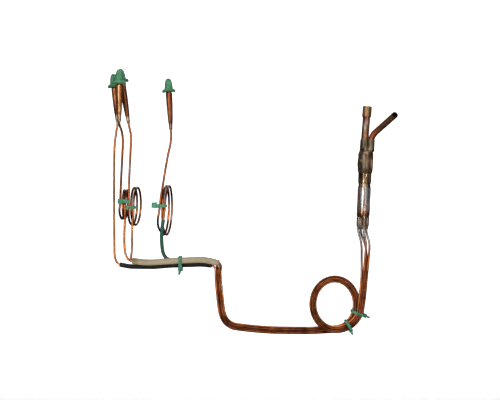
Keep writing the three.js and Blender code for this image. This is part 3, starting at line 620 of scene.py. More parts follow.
def makeBranch():
    line = smoothLine(branch["route"], 1.2)
    tube = tubeAlong("branchTube", line, branch["radius"], 10)
    outward(tube)
    applyModifier(tube, "SOLIDIFY", thickness=branch["wall"] * mm, offset=-1, use_even_offset=True)
    sawFace = Vector(branch["sawNormal"]).normalized()
    middle = line[-1] - (line[-1] - line[-2]).normalized() * branch["sawSetback"]
    pick(tube)
    bpy.ops.object.mode_set(mode="EDIT")
    bpy.ops.mesh.select_all(action="SELECT")
    bpy.ops.mesh.bisect(plane_co=tuple(middle * mm), plane_no=tuple(sawFace), clear_outer=True)
    bpy.ops.mesh.select_all(action="DESELECT")
    bpy.ops.mesh.select_mode(type="EDGE")
    bpy.ops.mesh.select_non_manifold(use_boundary=True)
    bpy.ops.mesh.bridge_edge_loops()
    bpy.ops.mesh.select_mode(type="VERT")
    bpy.ops.object.mode_set(mode="OBJECT")
    applyModifier(tube, "BEVEL", width=0.18 * mm, segments=2, limit_method="ANGLE")
    clouded(tube, 8, 0.12)
    smoothed(tube)

    def inBore(p):  # the wall's inside, painted black as the shade in the bore
        return min((p - place).length for place in line) < branch["radius"] - branch["wall"] / 2

    heatMarks(
        tube,
        warm=lambda p: 0.8 * (1 - smoothStep(p.x, 5, 13)),
        soot=lambda p: (2 if inBore(p) else
                        0.35 * smoothStep(p.x, 12, 26) + 0.35 * (1 - smoothStep(-p.z, 11, 20))),
    )
    finished(tube, "branchTubeWall", "branch", "aged_copper", "root", "branch_tube")


makeInlet()
makeBranch()
print("inlet and branch made")

# The body hangs from its top, and everything on it is set out down its leaning axis.
body = {
    "top": (-1.3, -1.5, -41.3), "lean": 2.6,
    "upper": [  # the barrel drawn in to the pinch, closed at both ends
        (0, -38), (8.9, -38), (9.35, -37.8), (9.52, -37.3), (9.52, -31), (9.4, -27), (9.52, -21), (9.5, -18.5),
        (9.2, -17), (8.5, -15.6), (7.9, -14.6), (7.8, -13.8), (8.1, -12.6), (7.4, -11.2), (0, -11),
    ],
    "lobes": [  # middle, radius and lean of each gripped pipe's half of the pinch
        ((-2.15, 1.5), 5.62, 1.9), ((5.2, -3.5), 4.82, 0),
    ],
    "lower": [  # the barrel with its rolled groove, closed at both ends
        (0, -24), (8.25, -24), (8.25, -34), (8.25, -45), (8.25, -53.2), (8.15, -54), (7.75, -54.9), (7.5, -56),
        (7.42, -57), (7.5, -58), (7.75, -59.1), (8.15, -60), (8.25, -60.8), (8.25, -70), (8.1, -79),
        (8.25, -86), (8.25, -93.6), (8.0, -95.2), (7.2, -96.8), (5.5, -97.6), (0, -97.6),
    ],
    # pale streaks painted as highlights down the front of each shell
    "lowerHighlights": [
        ((1.4, 43), (-2.6, 54), 0.75, 1), ((5, 43), (5.2, 53), 0.7, 1), ((-3.2, 56), (-1.6, 58), 1.2, 0.8),
        ((4.2, 79), (4.6, 90), 0.6, 0.6),  # and how strong each is
    ],
    "upperHighlights": [((-6.4, 25.5), (-6.4, 28.5), 1.3), ((7, 25), (7, 37), 0.7)],  # start, end and width
    "foot": -108.3, "holeCircle": 5.4, "holeTurn": 14, "lobeRadius": 2.85,
}
bodyPlace = turnY(body["lean"], body["top"])
bodyBack = bodyPlace.inverted()


def inBody(p):  # a place in mm, along and about the body's own axis
    return (bodyBack @ (p * mm)) / mm


def rodAt(x, y, radius, low, high, lean=0, sides=32):  # a plain rod to be melted into something
    deselectAll()
    bpy.ops.mesh.primitive_cylinder_add(vertices=sides, radius=radius * mm, depth=(high - low) * mm,
                                        location=(x * mm, y * mm, (low + high) / 2 * mm),
                                        rotation=(0, math.radians(lean), 0))
    bpy.ops.object.transform_apply(location=True, rotation=True)
    return bpy.context.object


def ballAt(x, y, z, radius, stretch=(1, 1, 1)):
    deselectAll()
    bpy.ops.mesh.primitive_uv_sphere_add(segments=24, ring_count=14, radius=radius * mm,
                                         location=(x * mm, y * mm, z * mm), scale=stretch)
    bpy.ops.object.transform_apply(location=True, scale=True)
    return bpy.context.object


def cutAway(obj, *tools):
    for tool in tools:
        applyModifier(obj, "BOOLEAN", operation="DIFFERENCE", object=tool, solver="EXACT")
        bpy.data.objects.remove(tool)


def holes():
    for index in range(4):
        angle = math.radians(body["holeTurn"] + 90 * index)
        yield body["holeCircle"] * math.cos(angle), body["holeCircle"] * math.sin(angle)


def makeUpperShell():
    parts = [turnedPiece("barrel", body["upper"], 56)]
    for (x, y), radius, lean in body["lobes"]:
        parts.append(rodAt(x, y, radius, -15.5, 0, lean))
    parts.append(ballAt(-9.3, -1.2, -30, 1, (1.0, 0.9, 6.5)))  # a run of metal down its left side
    parts.append(ballAt(6.6, -6.9, -29, 1, (0.8, 0.6, 7)))  # and another on its right
    shell = joined("upperShell", *parts)
    melted(shell, 0.42, 5)
    groove = [rodAt(1.2, -7.2, 1.2, -13.6, 3, 4), ballAt(-3.2, -10.1, -20, 1.6, (1.6, 0.9, 1.2)),
              ballAt(4.0, -10.6, -24.5, 1.8, (1.2, 0.9, 2.4))]
    cutAway(shell, *groove)
    applyModifier(shell, "SMOOTH", factor=0.5, iterations=2)
    clouded(shell, 7, 0.3)
    placed(shell, bodyPlace)
    smoothed(shell)
    # painted highlights: pale streaks on the front half only, a short one on the left and a long one on the right
    def highlightAt(p):
        place = inBody(p)
        if place.y > 0:
            return 0.0
        return max(streak(place.x, -place.z, start, end, width) for start, end, width in body["upperHighlights"])

    # painted shade: darker round the pinch's waist, down the seam between the lobes and at the step above the
    # braze; also darker over the left lobe's top
    def sootAndShadeAt(p):
        place = inBody(p)
        down = -place.z
        return max(0.9 * band(down, 14.2, 1.0),
                   0.9 * band(place.x, 1.6, 1.1) * (1 - smoothStep(down, 9, 14)),
                   0.5 * (1 - smoothStep(place.x, -2, 0)) * (1 - smoothStep(down, 12, 16)),
                   0.6 * smoothStep(down, 34, 38))

    heatMarks(
        shell, soot=sootAndShadeAt, cream=highlightAt,
        # partly a painted highlight: the orange band down the right side that frames the pale streak there
        warm=lambda p: 1.0 * smoothStep(inBody(p).x, 4.6, 5.6) * smoothStep(-inBody(p).z, 19, 24),
    )
    finished(shell, "upperShellWall", "upperShell", "aged_copper", "root", "upper_shell")


def makeLowerShell():
    parts = [turnedPiece("barrel", body["lower"], 56), rodAt(0, 0, 4.3, body["foot"], -96)]
    for x, y in holes():
        parts.append(rodAt(x, y, body["lobeRadius"], body["foot"], -96.8))
        parts.append(ballAt(x, y, -96.8, body["lobeRadius"]))
    shell = joined("lowerShell", *parts)
    melted(shell, 0.4, 3)
    dimples = [(-5, -1), (2.5, -1), (-6.2, 1), (5.6, 1)]  # punched round the groove to hold the strainer
    tools = []
    for x, side in dimples:
        tools.append(ballAt(x, side * math.sqrt(7.9 ** 2 - x * x), -57, 1.25))
    cutAway(shell, *tools)
    applyModifier(shell, "SMOOTH", factor=0.5, iterations=1)
    clouded(shell, 9, 0.26)
    placed(shell, bodyPlace)
    smoothed(shell)

    def silverAt(p):
        place = inBody(p)
        down = -place.z
        tinned = smoothStep(down, 59, 61) * (1 - smoothStep(down, 88, 93))
        return max(tinned * (1 - 0.6 * band(place.x, 0.4, 1.3)), 0.2 * smoothStep(down, 94, 97))

    def warmAt(p):
        place = inBody(p)
        down = -place.z
        if place.y > 2:
            return 0.4 * smoothStep(down, 84, 90)
        foot = smoothStep(down, 86, 90) * (1 - smoothStep(down, 92, 94))
        leftEdge = (1 - smoothStep(place.x, -7.4, -6)) * smoothStep(down, 62, 70) * (1 - smoothStep(down, 92, 95))
        rightEdge = smoothStep(place.x, 4.6, 6.5) * smoothStep(down, 88, 92) * (1 - smoothStep(down, 100, 104))
        return max(0.9 * foot * (1 - smoothStep(place.x, 3, 6)),
                   0.9 * streak(place.x, down, (-1.6, 76), (3.4, 87), 0.9), 0.8 * leftEdge, 0.7 * rightEdge)

    # painted highlights: pale diagonal and upright streaks on the front half only
    def highlightAt(p):
        place = inBody(p)
        if place.y > 0:
            return 0.0
        return max(strength * streak(place.x, -place.z, start, end, width)
                   for start, end, width, strength in body["lowerHighlights"])

    # darker from the upper shell's step down to the groove and at the foot's tips by the braze; painted shade in a
    # line at the groove's lower edge and round the shoulder above the foot
    def sootAndShadeAt(p):
        down = -inBody(p).z
        return (0.3 * (1 - smoothStep(down, 50, 60)) + 0.4 * smoothStep(down, 104, 108.3)
                + 0.5 * band(down, 94.6, 1.0) + 0.5 * band(down, 59.8, 0.8))

    heatMarks(shell, silver=silverAt, warm=warmAt, cream=highlightAt, soot=sootAndShadeAt)
    finished(shell, "lowerShellWall", "lowerShell", "aged_copper", "root", "lower_shell")


def makeBodyBrazes():
    fillet = turnedPiece("fillet", [(8.1, -37.6), (8.1, -42.2), (8.5, -42.1), (8.85, -41), (9.15, -39.8),
                                    (9.5, -38.6), (9.55, -37.9), (9.3, -37.5)], 64)
    clouded(fillet, 2.4, 0.5, 1)
    placed(fillet, bodyPlace)
    smoothed(fillet, 60)
    finished(fillet, "bodyBrazeFillet", "darkBraze", "braze_alloy", "root", "body_braze")

    top = body["foot"] - 0.3
    parts = [turnedPiece("collar", [(0, top - 3.6), (3.6, top - 3.6), (5.2, top - 2.9), (6.4, top - 1.8),
                                    (7.2, top - 0.3), (7, top + 0.2), (0, top + 0.2)], 48)]
    for x, y in holes():
        parts.append(rodAt(x, y, 2.0, top - 3.4, top))
    collar = joined("collar", *parts)
    melted(collar, 0.35, 3)
    cutAway(collar, ballAt(-3.6, -6.6, top - 1.4, 1.1), ballAt(1.4, -6.9, top - 1.6, 1.0),
            ballAt(5.4, -4.4, top - 1.4, 0.9))
    clouded(collar, 2.2, 0.7)
    placed(collar, bodyPlace)
    smoothed(collar, 60)
    finished(collar, "capillaryBrazeCollar", "braze", "braze_alloy", "root", "capillary_braze")


makeUpperShell()
makeLowerShell()
makeBodyBrazes()
for node, material in (("strainer_ring", "brass"), ("strainer_screen", "wire")):
    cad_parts[node].data.materials.clear()
    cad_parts[node].data.materials.append(materials[material])
print("body made")

# Where the four capillaries run, all in mm.
ring = {"x": -40.8, "z": -247.2, "across": 27.4, "up": 31.3, "frontExcess": 5.4, "depth": 2.7}
bundle = {
    "pitch": 2.15, "stagger": 1.15,
    "slots": {1: -1.5, 4: -0.5, 2: 0.5, 3: 1.5},  # counted outwards from the ring's middle
    "start": [(-4.3, -2.7, -212), (-5.8, -2.7, -229.5)],
    "end": [
        (-60, 2.7, -279.9), (-80, 2.2, -280.3), (-100, 1.2, -280), (-120, 0, -279.4), (-139, 0, -278.1),
        (-157, 0, -276.1), (-168.5, 0, -274.1), (-176.4, 0, -268.7), (-181.2, 0, -259.5), (-183.2, 0, -248),
        (-184.9, 0, -232), (-186.2, 0, -218),
    ],
}
leadOut = {
    1: {"hole": 0, "points": [(2.4, -0.6, -172), (1.2, -2.8, -190)]},
    2: {"hole": 3, "points": [(-2.4, -4.6, -172), (-3.4, -4.1, -190)]},
    3: {"hole": 2, "points": [(-7.8, -1.5, -172), (-7.4, -1.7, -190)]},
    4: {"hole": 1, "points": [(-6.2, 4.7, -162), (-2.4, 2.4, -174), (-1.1, -0.2, -190)]},
}
coils = {
    2: {"near": (-301.9, -305, -308.1), "far": (-303, -306.8), "y": -8, "z": -122.6, "radius": 18.1,
        "tie": -118.2, "bulge": 1, "lean": 1},
    3: {"near": (-291.9, -295, -298.1), "far": (-288.2, -293), "y": -4, "z": -124.9, "radius": 23.7,
        "tie": -125.7, "bulge": 0.6, "lean": 0.8},
    4: {"near": (-252.9, -256, -259.1), "far": (-248.8, -252.8), "y": -6, "z": -130.1, "radius": 31.1,
        "tie": -123.2, "bulge": 3, "lean": 1.8},
}
stubs = {  # the foot and the open top of each outlet stub
    1: ((-315.6, 14, -5.6), (-319.1, 15, 34.8)),
    2: ((-307.9, -16.5, -8.4), (-308, -16.5, 35)),
    3: ((-300.6, 1, -8.6), (-308.1, 1, 39.6)),
    4: ((-246.1, -2, -17.6), (-248.5, -2, 27)),
}
beigeRoute = [
    (-185.4, -1.5, -196.1), (-191.5, -1.5, -194.2), (-198.8, -1.5, -192.7), (-206.8, -1.5, -191.6),
    (-223.8, -1.5, -192.1), (-248.8, -1.5, -193.4), (-268.1, -1.5, -194.8), (-279, -1.5, -194.6),
    (-293.6, -1.5, -192.9),
]
blackRoute = [
    (-194.6, 2.9, -199.2), (-206.8, 2.7, -197.9), (-223.8, 2.7, -198.3), (-248.8, 2.7, -199.3),
    (-268.1, 2.7, -200.7), (-279, 2.7, -200.6), (-296.3, 2.7, -200.2), (-309.8, 2.7, -197.9),
]
greenRoute = [
    (-196, 4.6, -191.9), (-208, 4.6, -190.6), (-223.8, 4.6, -191.3), (-238, 4.6, -192.1),
    (-246.5, 4.6, -192), (-251.8, 4.4, -189.6), (-255.2, 3.4, -184.4), (-256.6, 1.4, -176.8),
    (-257, -1.2, -169.5), (-256.9, -4, -161), (-256, -6.4, -152), (-254.4, -8.2, -141.4),
]


def shifted(points, y, z):
    return [(p[0], p[1] + y, p[2] + z) for p in points]


onward = {  # from the top of the up-run through the sleeve, up to the coil, and on to the stub
    1: {
        "turn": [(-189.8, -0.6, -207), (-190.4, 1.6, -202)], "sleeve": blackRoute,
        "riser": [(-314, 3, -194.2), (-316.2, 3.2, -187.5), (-316.7, 3.6, -178), (-316.9, 4, -166),
                  (-317.4, 5, -117), (-317.8, 9, -66.6), (-317.4, 11.4, -46), (-315.6, 13.2, -30)],
        "upper": [],
    },
    2: {
        "turn": [(-185.6, -2.5, -206), (-184.5, -2.9, -201.2)], "sleeve": shifted(beigeRoute, -1.4, -0.6),
        "riser": [(-298.6, -3.1, -190.6), (-301.6, -3.4, -185), (-302.9, -4, -177), (-303.2, -5, -162),
                  (-302.4, -7, -146), (-301.9, -8.9, -132)],
        "upper": [(-307.3, -8.4, -104.6), (-306.4, -9.4, -87.2), (-305, -11.4, -65), (-303.9, -13.6, -42.8),
                  (-304.9, -15.2, -33)],
    },
    3: {
        "turn": [(-183.6, 0.4, -206), (-182.8, -0.1, -200.6)], "sleeve": shifted(beigeRoute, 1.4, 0.6),
        "riser": [(-295.6, -0.1, -190.3), (-295, -0.1, -185.4), (-294.3, -0.4, -177), (-294, -1.6, -162),
                  (-293.2, -3.6, -146), (-292.1, -4.8, -137)],
        "upper": [(-297.6, -3.7, -104.5), (-297.2, -3, -87.1), (-296.3, -1.5, -64.6), (-295.6, 0, -44),
                  (-295.9, 0.6, -34.5)],
    },
    4: {
        "turn": [(-187.4, 2.2, -207), (-188.2, 4.2, -199.5), (-190.6, 4.6, -194.4)], "sleeve": greenRoute,
        "riser": [(-253.2, -7.2, -132)],
        "upper": [(-257.6, -6, -113), (-255.1, -6, -98.3), (-252.2, -5, -79.7), (-248.9, -4, -60.9),
                  (-245.6, -2.8, -44.5)],
    },
}
stepsPerTurn = 20


def ringPoint(turn):  # turn is the angle gone since three o'clock, clockwise
    excess = ring["frontExcess"] * (1 - smoothStep(turn, 0, math.pi / 2))
    back = smoothStep(turn, 0.75 * math.pi, 1.86 * math.pi)
    return (ring["x"] + (ring["across"] + excess) * math.cos(turn), ring["depth"] * (2 * back - 1),
            ring["z"] - (ring["up"] + excess) * math.sin(turn))


def inBundle(index):
    centre = list(bundle["start"])
    centre += [ringPoint(2 * math.pi * i / stepsPerTurn) for i in range(int(1.2 * stepsPerTurn) + 1)]
    centre = [Vector(p) for p in centre + bundle["end"]]
    side = bundle["slots"][index]
    depth = -bundle["stagger"] if side in (-1.5, 0.5) else bundle["stagger"]
    points = []
    for i, point in enumerate(centre):
        along = (centre[min(i + 1, len(centre) - 1)] - centre[max(i - 1, 0)]).normalized()
        across = Vector((along.z, 0, -along.x)).normalized()
        points.append(point + across * side * bundle["pitch"] + Vector((0, depth, 0)))
    return points


def coilPoints(index):
    coil = coils[index]
    radius = coil["radius"]
    start = math.asin((coil["tie"] - coil["z"]) / radius)
    middle = coil["y"] + radius * math.cos(start)
    points = []
    for i in range(2 * stepsPerTurn + 1):
        turn = i / stepsPerTurn
        lap = min(int(turn), 1)
        within = turn - lap
        angle = start + 2 * math.pi * turn
        nearX = coil["near"][lap] + (coil["near"][lap + 1] - coil["near"][lap]) * within
        farShare = (1 - math.cos(2 * math.pi * within)) / 2
        swing = math.sin(4 * math.pi * (within - 0.75)) ** 2 if lap == 1 and within > 0.75 else 0
        x = nearX + (coil["far"][lap] - nearX) * farShare
        x += coil["lean"] * math.sin(angle) - coil["bulge"] * swing
        points.append((x, middle - radius * math.cos(angle), coil["z"] + radius * math.sin(angle)))
    return points


def capillaryPoints(index):
    x, y = list(holes())[leadOut[index]["hole"]]
    points = []
    for z in (body["foot"] + 15, body["foot"] + 4, body["foot"] - 6):
        points.append(bodyPlace @ Vector((x * mm, y * mm, z * mm)) / mm)
    points += [Vector(p) for p in leadOut[index]["points"]] + inBundle(index)
    way = onward[index]
    points += [Vector(p) for p in [*way["turn"], *way["sleeve"], *way["riser"]]]
    if index in coils:
        points += [Vector(p) for p in coilPoints(index)]
    points += [Vector(p) for p in way["upper"]]
    foot, top = Vector(stubs[index][0]), Vector(stubs[index][1])
    along = (top - foot).normalized()
    points += [foot + along * above for above in (-15, -7, 4.5)]
    return points


capillary = {
    "radius": 1.5, "step": 1.3, "roundness": 5,
    "tarnish": {  # added to the clouds: nought is middling, and 0.35 nearly black
        # the coils' middle value is a painted highlight at mid-height on their far strands
        "body": 0.05, "ring": 0.06, "bottom": 0.16, "coil": 0.24, "coilMiddleHighlight": -0.12,
        "strand": {1: 0.16, 4: -0.16, 2: 0.14, 3: -0.12},  # so neighbours in the bundle are told apart
        "upRun": {1: 0.0, 4: 0.25, 2: 0.12, 3: -0.18},
        "riser": {1: -0.08, 2: -0.1, 3: -0.12, 4: -0.1},
        "upper": {1: -0.1, 2: 0.18, 3: 0.0, 4: 0.0},
    },
}


def tarnishAndSheenAt(index):
    marks = capillary["tarnish"]

    def valueAt(p):
        if p.x > -50 and p.z > -205:
            return marks["body"]
        if p.x > -75:
            return marks["ring"] + marks["strand"][index]
        if p.z < -262:
            return marks["bottom"] + marks["strand"][index] / 2
        if p.x > -230:
            return marks["upRun"][index]
        if index in coils:
            coil = coils[index]
            rise = abs(p.z - coil["z"]) / coil["radius"]
            inCoil = smoothStep(p.y, coil["y"] - 2, coil["y"] + 2) * (1 - smoothStep(rise, 1.02, 1.1))
            # painted highlight: lighter at mid-height on each coil's far strands
            middle = (1 - smoothStep(rise, 0.2, 0.6)) * smoothStep(p.y, coil["y"] + 8, coil["y"] + 14)
            plain = marks["riser" if p.z < coil["z"] else "upper"][index]
            return plain + (marks["coil"] + marks["coilMiddleHighlight"] * middle * 3 - plain) * inCoil
        return marks["riser" if p.z < -110 else "upper"][index]
    return valueAt


def tinnedAt(p):  # the solder that ran out of the body
    return smoothStep(p.z, -182, -160) if p.x > -30 else 0


for index in (1, 2, 3, 4):
    line = smoothLine(capillaryPoints(index), capillary["step"])
    tube = tubeAlong(f"capillary{index}", line, capillary["radius"], capillary["roundness"])
    outward(tube)
    pick(tube)
    bpy.ops.object.mode_set(mode="EDIT")
    bpy.ops.mesh.select_all(action="SELECT")
    bpy.ops.mesh.fill_holes(sides=0)
    bpy.ops.object.mode_set(mode="OBJECT")
    smoothed(tube, 60)
    writeAttribute(tube, "tarnish", tarnishAndSheenAt(index))
    writeAttribute(tube, "silver", tinnedAt)
    finished(tube, f"capillaryTube{index}", "capillary", "copper", "root", f"capillary_{index}")
print("capillaries made")

outlets = {
    "stub": [  # its wall, from the bore's foot up and over the open end and down the taper to the drawn neck
        (1.75, 0, 0), (2.7, 6, 0), (2.75, -1, 1), (2.85, 0, 1), (3.35, 0, 1), (3.5, -0.3, 1), (3.5, -9.8, 1),
        (3.75, -10.3, 1), (4.12, -11, 1), (4.1, -13, 1), (3.9, 19, 0), (3.55, 9, 0), (3.1, 1, 0), (2.8, -2.4, 0),
        (2.5, -5.2, 0), (2.34, -8.5, 0), (2.2, -9, 0), (1.9, -9.1, 0), (1.75, -9, 0),
    ],
    "braze": [(1.3, -8.9), (2.3, -8.9), (2.45, -9.4), (2.25, -10.4), (1.9, -11.6), (1.62, -13), (1.3, -13.2)],
    "grip": 9.2,
    "cap": [  # from the bore's crown down inside, round the rolled hem and up to the tip
        (0, 12.2), (2.4, 11.6), (3.7, 9.8), (3.8, 5), (3.8, 0.5), (4.1, 0.15), (5.5, 0), (7, 0), (7.9, 0.2),
        (8.35, 0.8), (8.45, 1.7), (8.3, 2.6), (7.8, 3.2), (7.1, 3.45), (6.3, 3.5), (5.6, 3.8), (5.1, 4.7),
        (4.85, 6.5), (4.6, 8.6), (4.3, 11), (3.9, 13), (3.3, 14.8), (2.5, 16.2), (1.4, 16.9), (0, 17.1),
    ],
    "ribs": 9, "ribHeight": 0.3, "stretch": {1: 1, 2: 1.08, 3: 1, 4: 1},
    "droop": 2.0,  # how far the brim sags at its left and right
}


def makeOutlet(index):
    foot, top = Vector(stubs[index][0]), Vector(stubs[index][1])
    length = (top - foot).length
    place = axisFrame(foot * mm, top - foot)
    rings = [(radius, height + fromTop * length) for radius, height, fromTop in outlets["stub"]]
    stub = turnedPiece("stub", rings, 40)
    clouded(stub, 7, 0.2)
    placed(stub, place)
    smoothed(stub)
    neck = foot.z
    heatMarks(
        stub,
        silver=lambda p: 0.6 * (1 - smoothStep(p.z, neck - 7, neck - 2)),
        soot=lambda p: 0.8 * math.exp(-((p.z - neck + 2) / 3) ** 2),
        warm=lambda p: 0.4 * smoothStep(p.z, neck + 2, neck + 12),
    )
    finished(stub, f"outletStubWall{index}", "goldStub" if index == 2 else "stub", "copper", "root",
             f"outlet_stub_{index}")

    fillet = turnedPiece("fillet", outlets["braze"], 32)
    clouded(fillet, 1.6, 0.35, 1)
    placed(fillet, place)
    smoothed(fillet, 60)
    finished(fillet, f"stubBrazeFillet{index}", "yellowBraze", "braze_alloy", "root", f"stub_braze_{index}")

    cap = turnedPiece("cap", outlets["cap"], 54)
    for vertex in cap.data.vertices:
        reach = vertex.co.xy.length / mm
        rib = math.cos(outlets["ribs"] * math.atan2(vertex.co.y, vertex.co.x))
        swell = rib * smoothStep(vertex.co.z / mm, 2, 6) * smoothStep(reach, 2.2, 3.6) * outlets["ribHeight"]
        vertex.co.xy *= 1 + swell / max(reach, 1)
        out = smoothStep(reach, 4.6, 8.4) * smoothStep(-vertex.co.z / mm, -6, -1)
        side = vertex.co.x / max(vertex.co.xy.length, mm)
        vertex.co.z += out * (0.5 - side * side) * outlets["droop"] * mm
    clouded(cap, 6, 0.3)
    stretch = Matrix.Diagonal((1, 1, outlets["stretch"][index], 1))
    placed(cap, place @ Matrix.Translation((0, 0, (length - outlets["grip"]) * mm)) @ stretch)
    smoothed(cap, 50)
    finished(cap, f"dustCap{index}", "green", "green_plastic", f"cap_{index}", f"end_cap_{index}")


for index in (1, 2, 3, 4):
    makeOutlet(index)
print("outlets made")

sleeves = {
    "beige": {"route": beigeRoute, "radius": 3.9, "wall": 0.45, "slot": "beige_sleeve", "lumps": 0.35,
              "stain": lambda p: 0.9 * smoothStep(-p.x, 284, 290) + 0.7 * (1 - smoothStep(-p.x, 186.5, 189))
              + 0.5 * smoothStep(-p.z, 196.5, 198.5)},
    "black": {"route": blackRoute, "radius": 3, "wall": 0.8, "slot": "black_sleeve", "lumps": 0.25,
              "stain": lambda p: 0.0},
    "green": {"route": greenRoute, "radius": 2.35, "wall": 0.4, "slot": "green_sleeve", "lumps": 0.12,
              "stain": lambda p: 0.6 * smoothStep(p.z, -150, -142)},
}


def makeSleeve(name):
    shape = sleeves[name]
    line = smoothLine(shape["route"], 1.0)
    tube = tubeAlong(name, line, shape["radius"], 12)
    outward(tube)
    applyModifier(tube, "SOLIDIFY", thickness=shape["wall"] * mm, offset=-1, use_even_offset=True)
    clouded(tube, 7, shape["lumps"])
    smoothed(tube, 50)
    writeAttribute(tube, "stain", shape["stain"])
    finished(tube, name + "SleeveSkin", "darkGreen" if name == "green" else name, shape["slot"], "root",
             name + "_sleeve")


for name in sleeves:
    makeSleeve(name)
print("sleeves made")


def ringDirection(degrees):
    angle = math.radians(degrees)
    return Vector((math.cos(angle), 0, math.sin(angle)))


def ringRim(degrees, radius):
    return Vector((ring["x"], 0, ring["z"])) + ringDirection(degrees) * radius


# A tie is a strap pulled through its own head, with the cut tail sticking out.
# Its X and Y cross the tubes; tail steps are how far, and how many degrees it curls, at each.
ties = {
    "ring_tie_1": {
        "at": ringRim(-21.5, 31), "axis": ringDirection(-111.5), "across": ringDirection(-21.5),
        "taper": 0.6, "inside": (8.5, 6.5), "width": 3.2, "head": ((4.6, 4.2, 5.2), (10, -6, 0)),
        "tail": ((11.5, -5.6, 0), (1, 0.3, 0), 3.0, [(1.6, 12), (1.6, 14), (1.4, 16)]),
    },
    "ring_tie_2": {
        "at": ringRim(-57, 31.3), "axis": ringDirection(-147), "across": ringDirection(-57),
        "taper": 0.6, "inside": (7, 6.5), "width": 3.2, "head": ((4.6, 4.2, 5.2), (7.8, -6, 1)),
        "tail": ((9.2, -5.5, 1), (1, 0, 0.25), 3.0, [(1.5, -12), (1.4, -16), (1.2, -16)]),
    },
    "sleeve_tie": {
        "at": (-233.8, 1.2, -195.4), "axis": (1, 0, 0.05), "across": (0, 0, 1),
        "taper": 0.5, "inside": (7.5, 7), "width": 4.2, "head": ((4.4, 4.6, 6.2), (-8.8, -5.4, -0.8)),
        "tail": ((-10.4, -5.2, -1.4), (-1, 0.1, -0.35), 3.4, [(1.6, 6), (1.4, 10), (1.2, 10)]),
    },
    "coil_tie_2": {
        "at": (-305, -8.1, -118.6), "axis": (0, 0, 1), "across": (1, 0, 0),
        "taper": 0.45, "inside": (5.1, 2.6), "width": 4.4, "head": ((6.6, 2.4, 6.6), (-2.4, -3.5, 0)),
        "tail": ((5.3, -3, -0.4), (1, 0.1, -0.12), 3.8, [(0.9, 8), (0.8, 10), (0.7, 10)]),
    },
    "coil_tie_3": {
        "at": (-295, -4.2, -126.2), "axis": (0, 0, 1), "across": (1, 0, 0),
        "taper": 0.7, "inside": (4.9, 2.6), "width": 3.4, "head": ((3, 2.6, 4.6), (-3.7, -3.7, 0)),
        "tail": ((5.2, -2.8, 0), (1, 0.1, 0), 3.0, [(0.8, 6), (0.8, 8), (0.6, 8)]),
    },
    "coil_tie_4": {
        "at": (-256, -6.3, -124.4), "axis": (0, 0, 1), "across": (1, 0, 0),
        "taper": 1.0, "inside": (5.1, 2.6), "width": 3.6, "head": ((3.4, 2.6, 4.8), (-5, -3.2, 0)),
        "tail": ((-6, -3.6, 0.7), (-1, 0, 0.05), 7.8, [(1.9, 3), (1.9, 3), (1.6, 4)]),
    },
}
strap = {"thickness": 1.0, "edge": 0.16}


def strapLoop(shape):
    halfX, halfY = shape["inside"]
    width = shape["width"]
    deselectAll()
    bpy.ops.mesh.primitive_plane_add(size=2 * mm)
    loop = bpy.context.object
    bpy.ops.object.mode_set(mode="EDIT")
    bpy.ops.mesh.select_all(action="SELECT")
    bpy.ops.transform.resize(value=(halfX, halfY, 1), center_override=(0, 0, 0))
    bpy.ops.mesh.bevel(offset=min(halfX, halfY) * 0.5 * mm, segments=7, affect="VERTICES")
    bpy.ops.mesh.delete(type="ONLY_FACE")
    bpy.ops.mesh.select_all(action="SELECT")
    bpy.ops.transform.translate(value=(0, 0, -width / 2 * mm))
    bpy.ops.mesh.extrude_region_move(TRANSFORM_OT_translate={"value": (0, 0, width * mm)})
    bpy.ops.mesh.select_all(action="SELECT")
    bpy.ops.mesh.normals_make_consistent(inside=False)
    bpy.ops.object.mode_set(mode="OBJECT")
    applyModifier(loop, "SOLIDIFY", thickness=strap["thickness"] * mm, offset=1, use_even_offset=True)
    applyModifier(loop, "BEVEL", width=strap["edge"] * mm, segments=2, limit_method="ANGLE")
    return loop


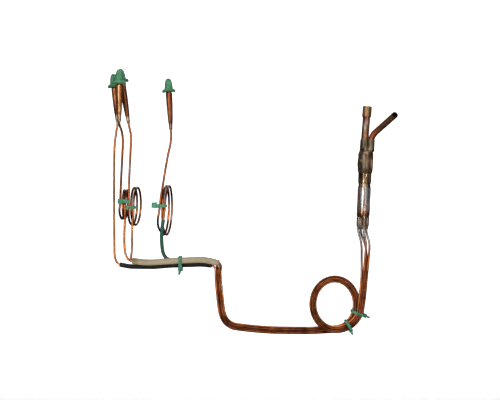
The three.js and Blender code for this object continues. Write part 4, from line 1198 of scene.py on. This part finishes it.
def tieHead(shape):
    size, place = shape["head"]
    deselectAll()
    bpy.ops.mesh.primitive_cube_add(size=mm)
    head = bpy.context.object
    bpy.ops.object.mode_set(mode="EDIT")
    bpy.ops.mesh.select_all(action="SELECT")
    bpy.ops.transform.resize(value=size, center_override=(0, 0, 0))
    bpy.ops.mesh.select_mode(type="FACE")
    for direction in (-1, 1):  # the slot that the tail comes out of, and the one it goes into
        bpy.ops.mesh.select_all(action="DESELECT")
        bpy.ops.object.mode_set(mode="OBJECT")
        for face in head.data.polygons:
            face.select = face.normal.y * direction > 0.9 and abs(face.center.y) > size[1] * 0.45 * mm
        bpy.ops.object.mode_set(mode="EDIT")
        bpy.ops.mesh.inset(thickness=min(size[0], size[2]) * 0.2 * mm)
        bpy.ops.mesh.extrude_region_move(TRANSFORM_OT_translate={"value": (0, -direction * 0.5 * mm, 0)})
    bpy.ops.mesh.select_all(action="SELECT")
    bpy.ops.transform.translate(value=tuple(value * mm for value in place))
    bpy.ops.mesh.select_mode(type="VERT")
    bpy.ops.object.mode_set(mode="OBJECT")
    applyModifier(head, "BEVEL", width=0.3 * mm, segments=3, limit_method="ANGLE")
    return head


def tieTail(shape):
    start, direction, width, steps = shape["tail"]
    deselectAll()
    bpy.ops.mesh.primitive_plane_add(size=mm)
    tail = bpy.context.object
    bpy.ops.object.mode_set(mode="EDIT")
    bpy.ops.mesh.select_all(action="SELECT")
    bpy.ops.transform.resize(value=(strap["thickness"], width, 1), center_override=(0, 0, 0))
    heading = 0.0
    middle = Vector((0, 0, 0))
    bpy.ops.mesh.extrude_region_move(TRANSFORM_OT_translate={"value": (0, 0, 1.6 * mm)})
    middle += Vector((0, 0, 1.6 * mm))
    for count, (length, curl) in enumerate(steps):
        heading += math.radians(curl)
        move = Vector((math.sin(heading), 0, math.cos(heading))) * length * mm
        bpy.ops.mesh.extrude_region_move(TRANSFORM_OT_translate={"value": tuple(move)})
        middle += move
        bpy.ops.transform.rotate(value=-math.radians(curl), orient_axis="Y", center_override=tuple(middle))
        taper = shape["taper"] if count == len(steps) - 1 else 0.94
        bpy.ops.transform.resize(value=(1, taper, 1), center_override=tuple(middle))
    bpy.ops.mesh.select_all(action="SELECT")
    bpy.ops.mesh.normals_make_consistent(inside=False)
    bpy.ops.object.mode_set(mode="OBJECT")
    applyModifier(tail, "BEVEL", width=0.2 * mm, segments=2, limit_method="ANGLE")
    along = Vector(direction).normalized()
    return placed(tail, axisFrame(Vector(start) * mm, along, (0, 1, 0)))


def makeTie(node):
    shape = ties[node]
    tie = joined(node, strapLoop(shape), tieHead(shape), tieTail(shape))
    along = Vector(shape["axis"]).normalized()
    placed(tie, axisFrame(Vector(shape["at"]) * mm, along, shape["across"]))
    clouded(tie, 5, 0.12)
    smoothed(tie, 35)
    words = node.split("_")
    finished(tie, words[0] + "".join(word.title() for word in words[1:]), "tie", "green_plastic", "root", node)


for node in ties:
    makeTie(node)
print("ties made")
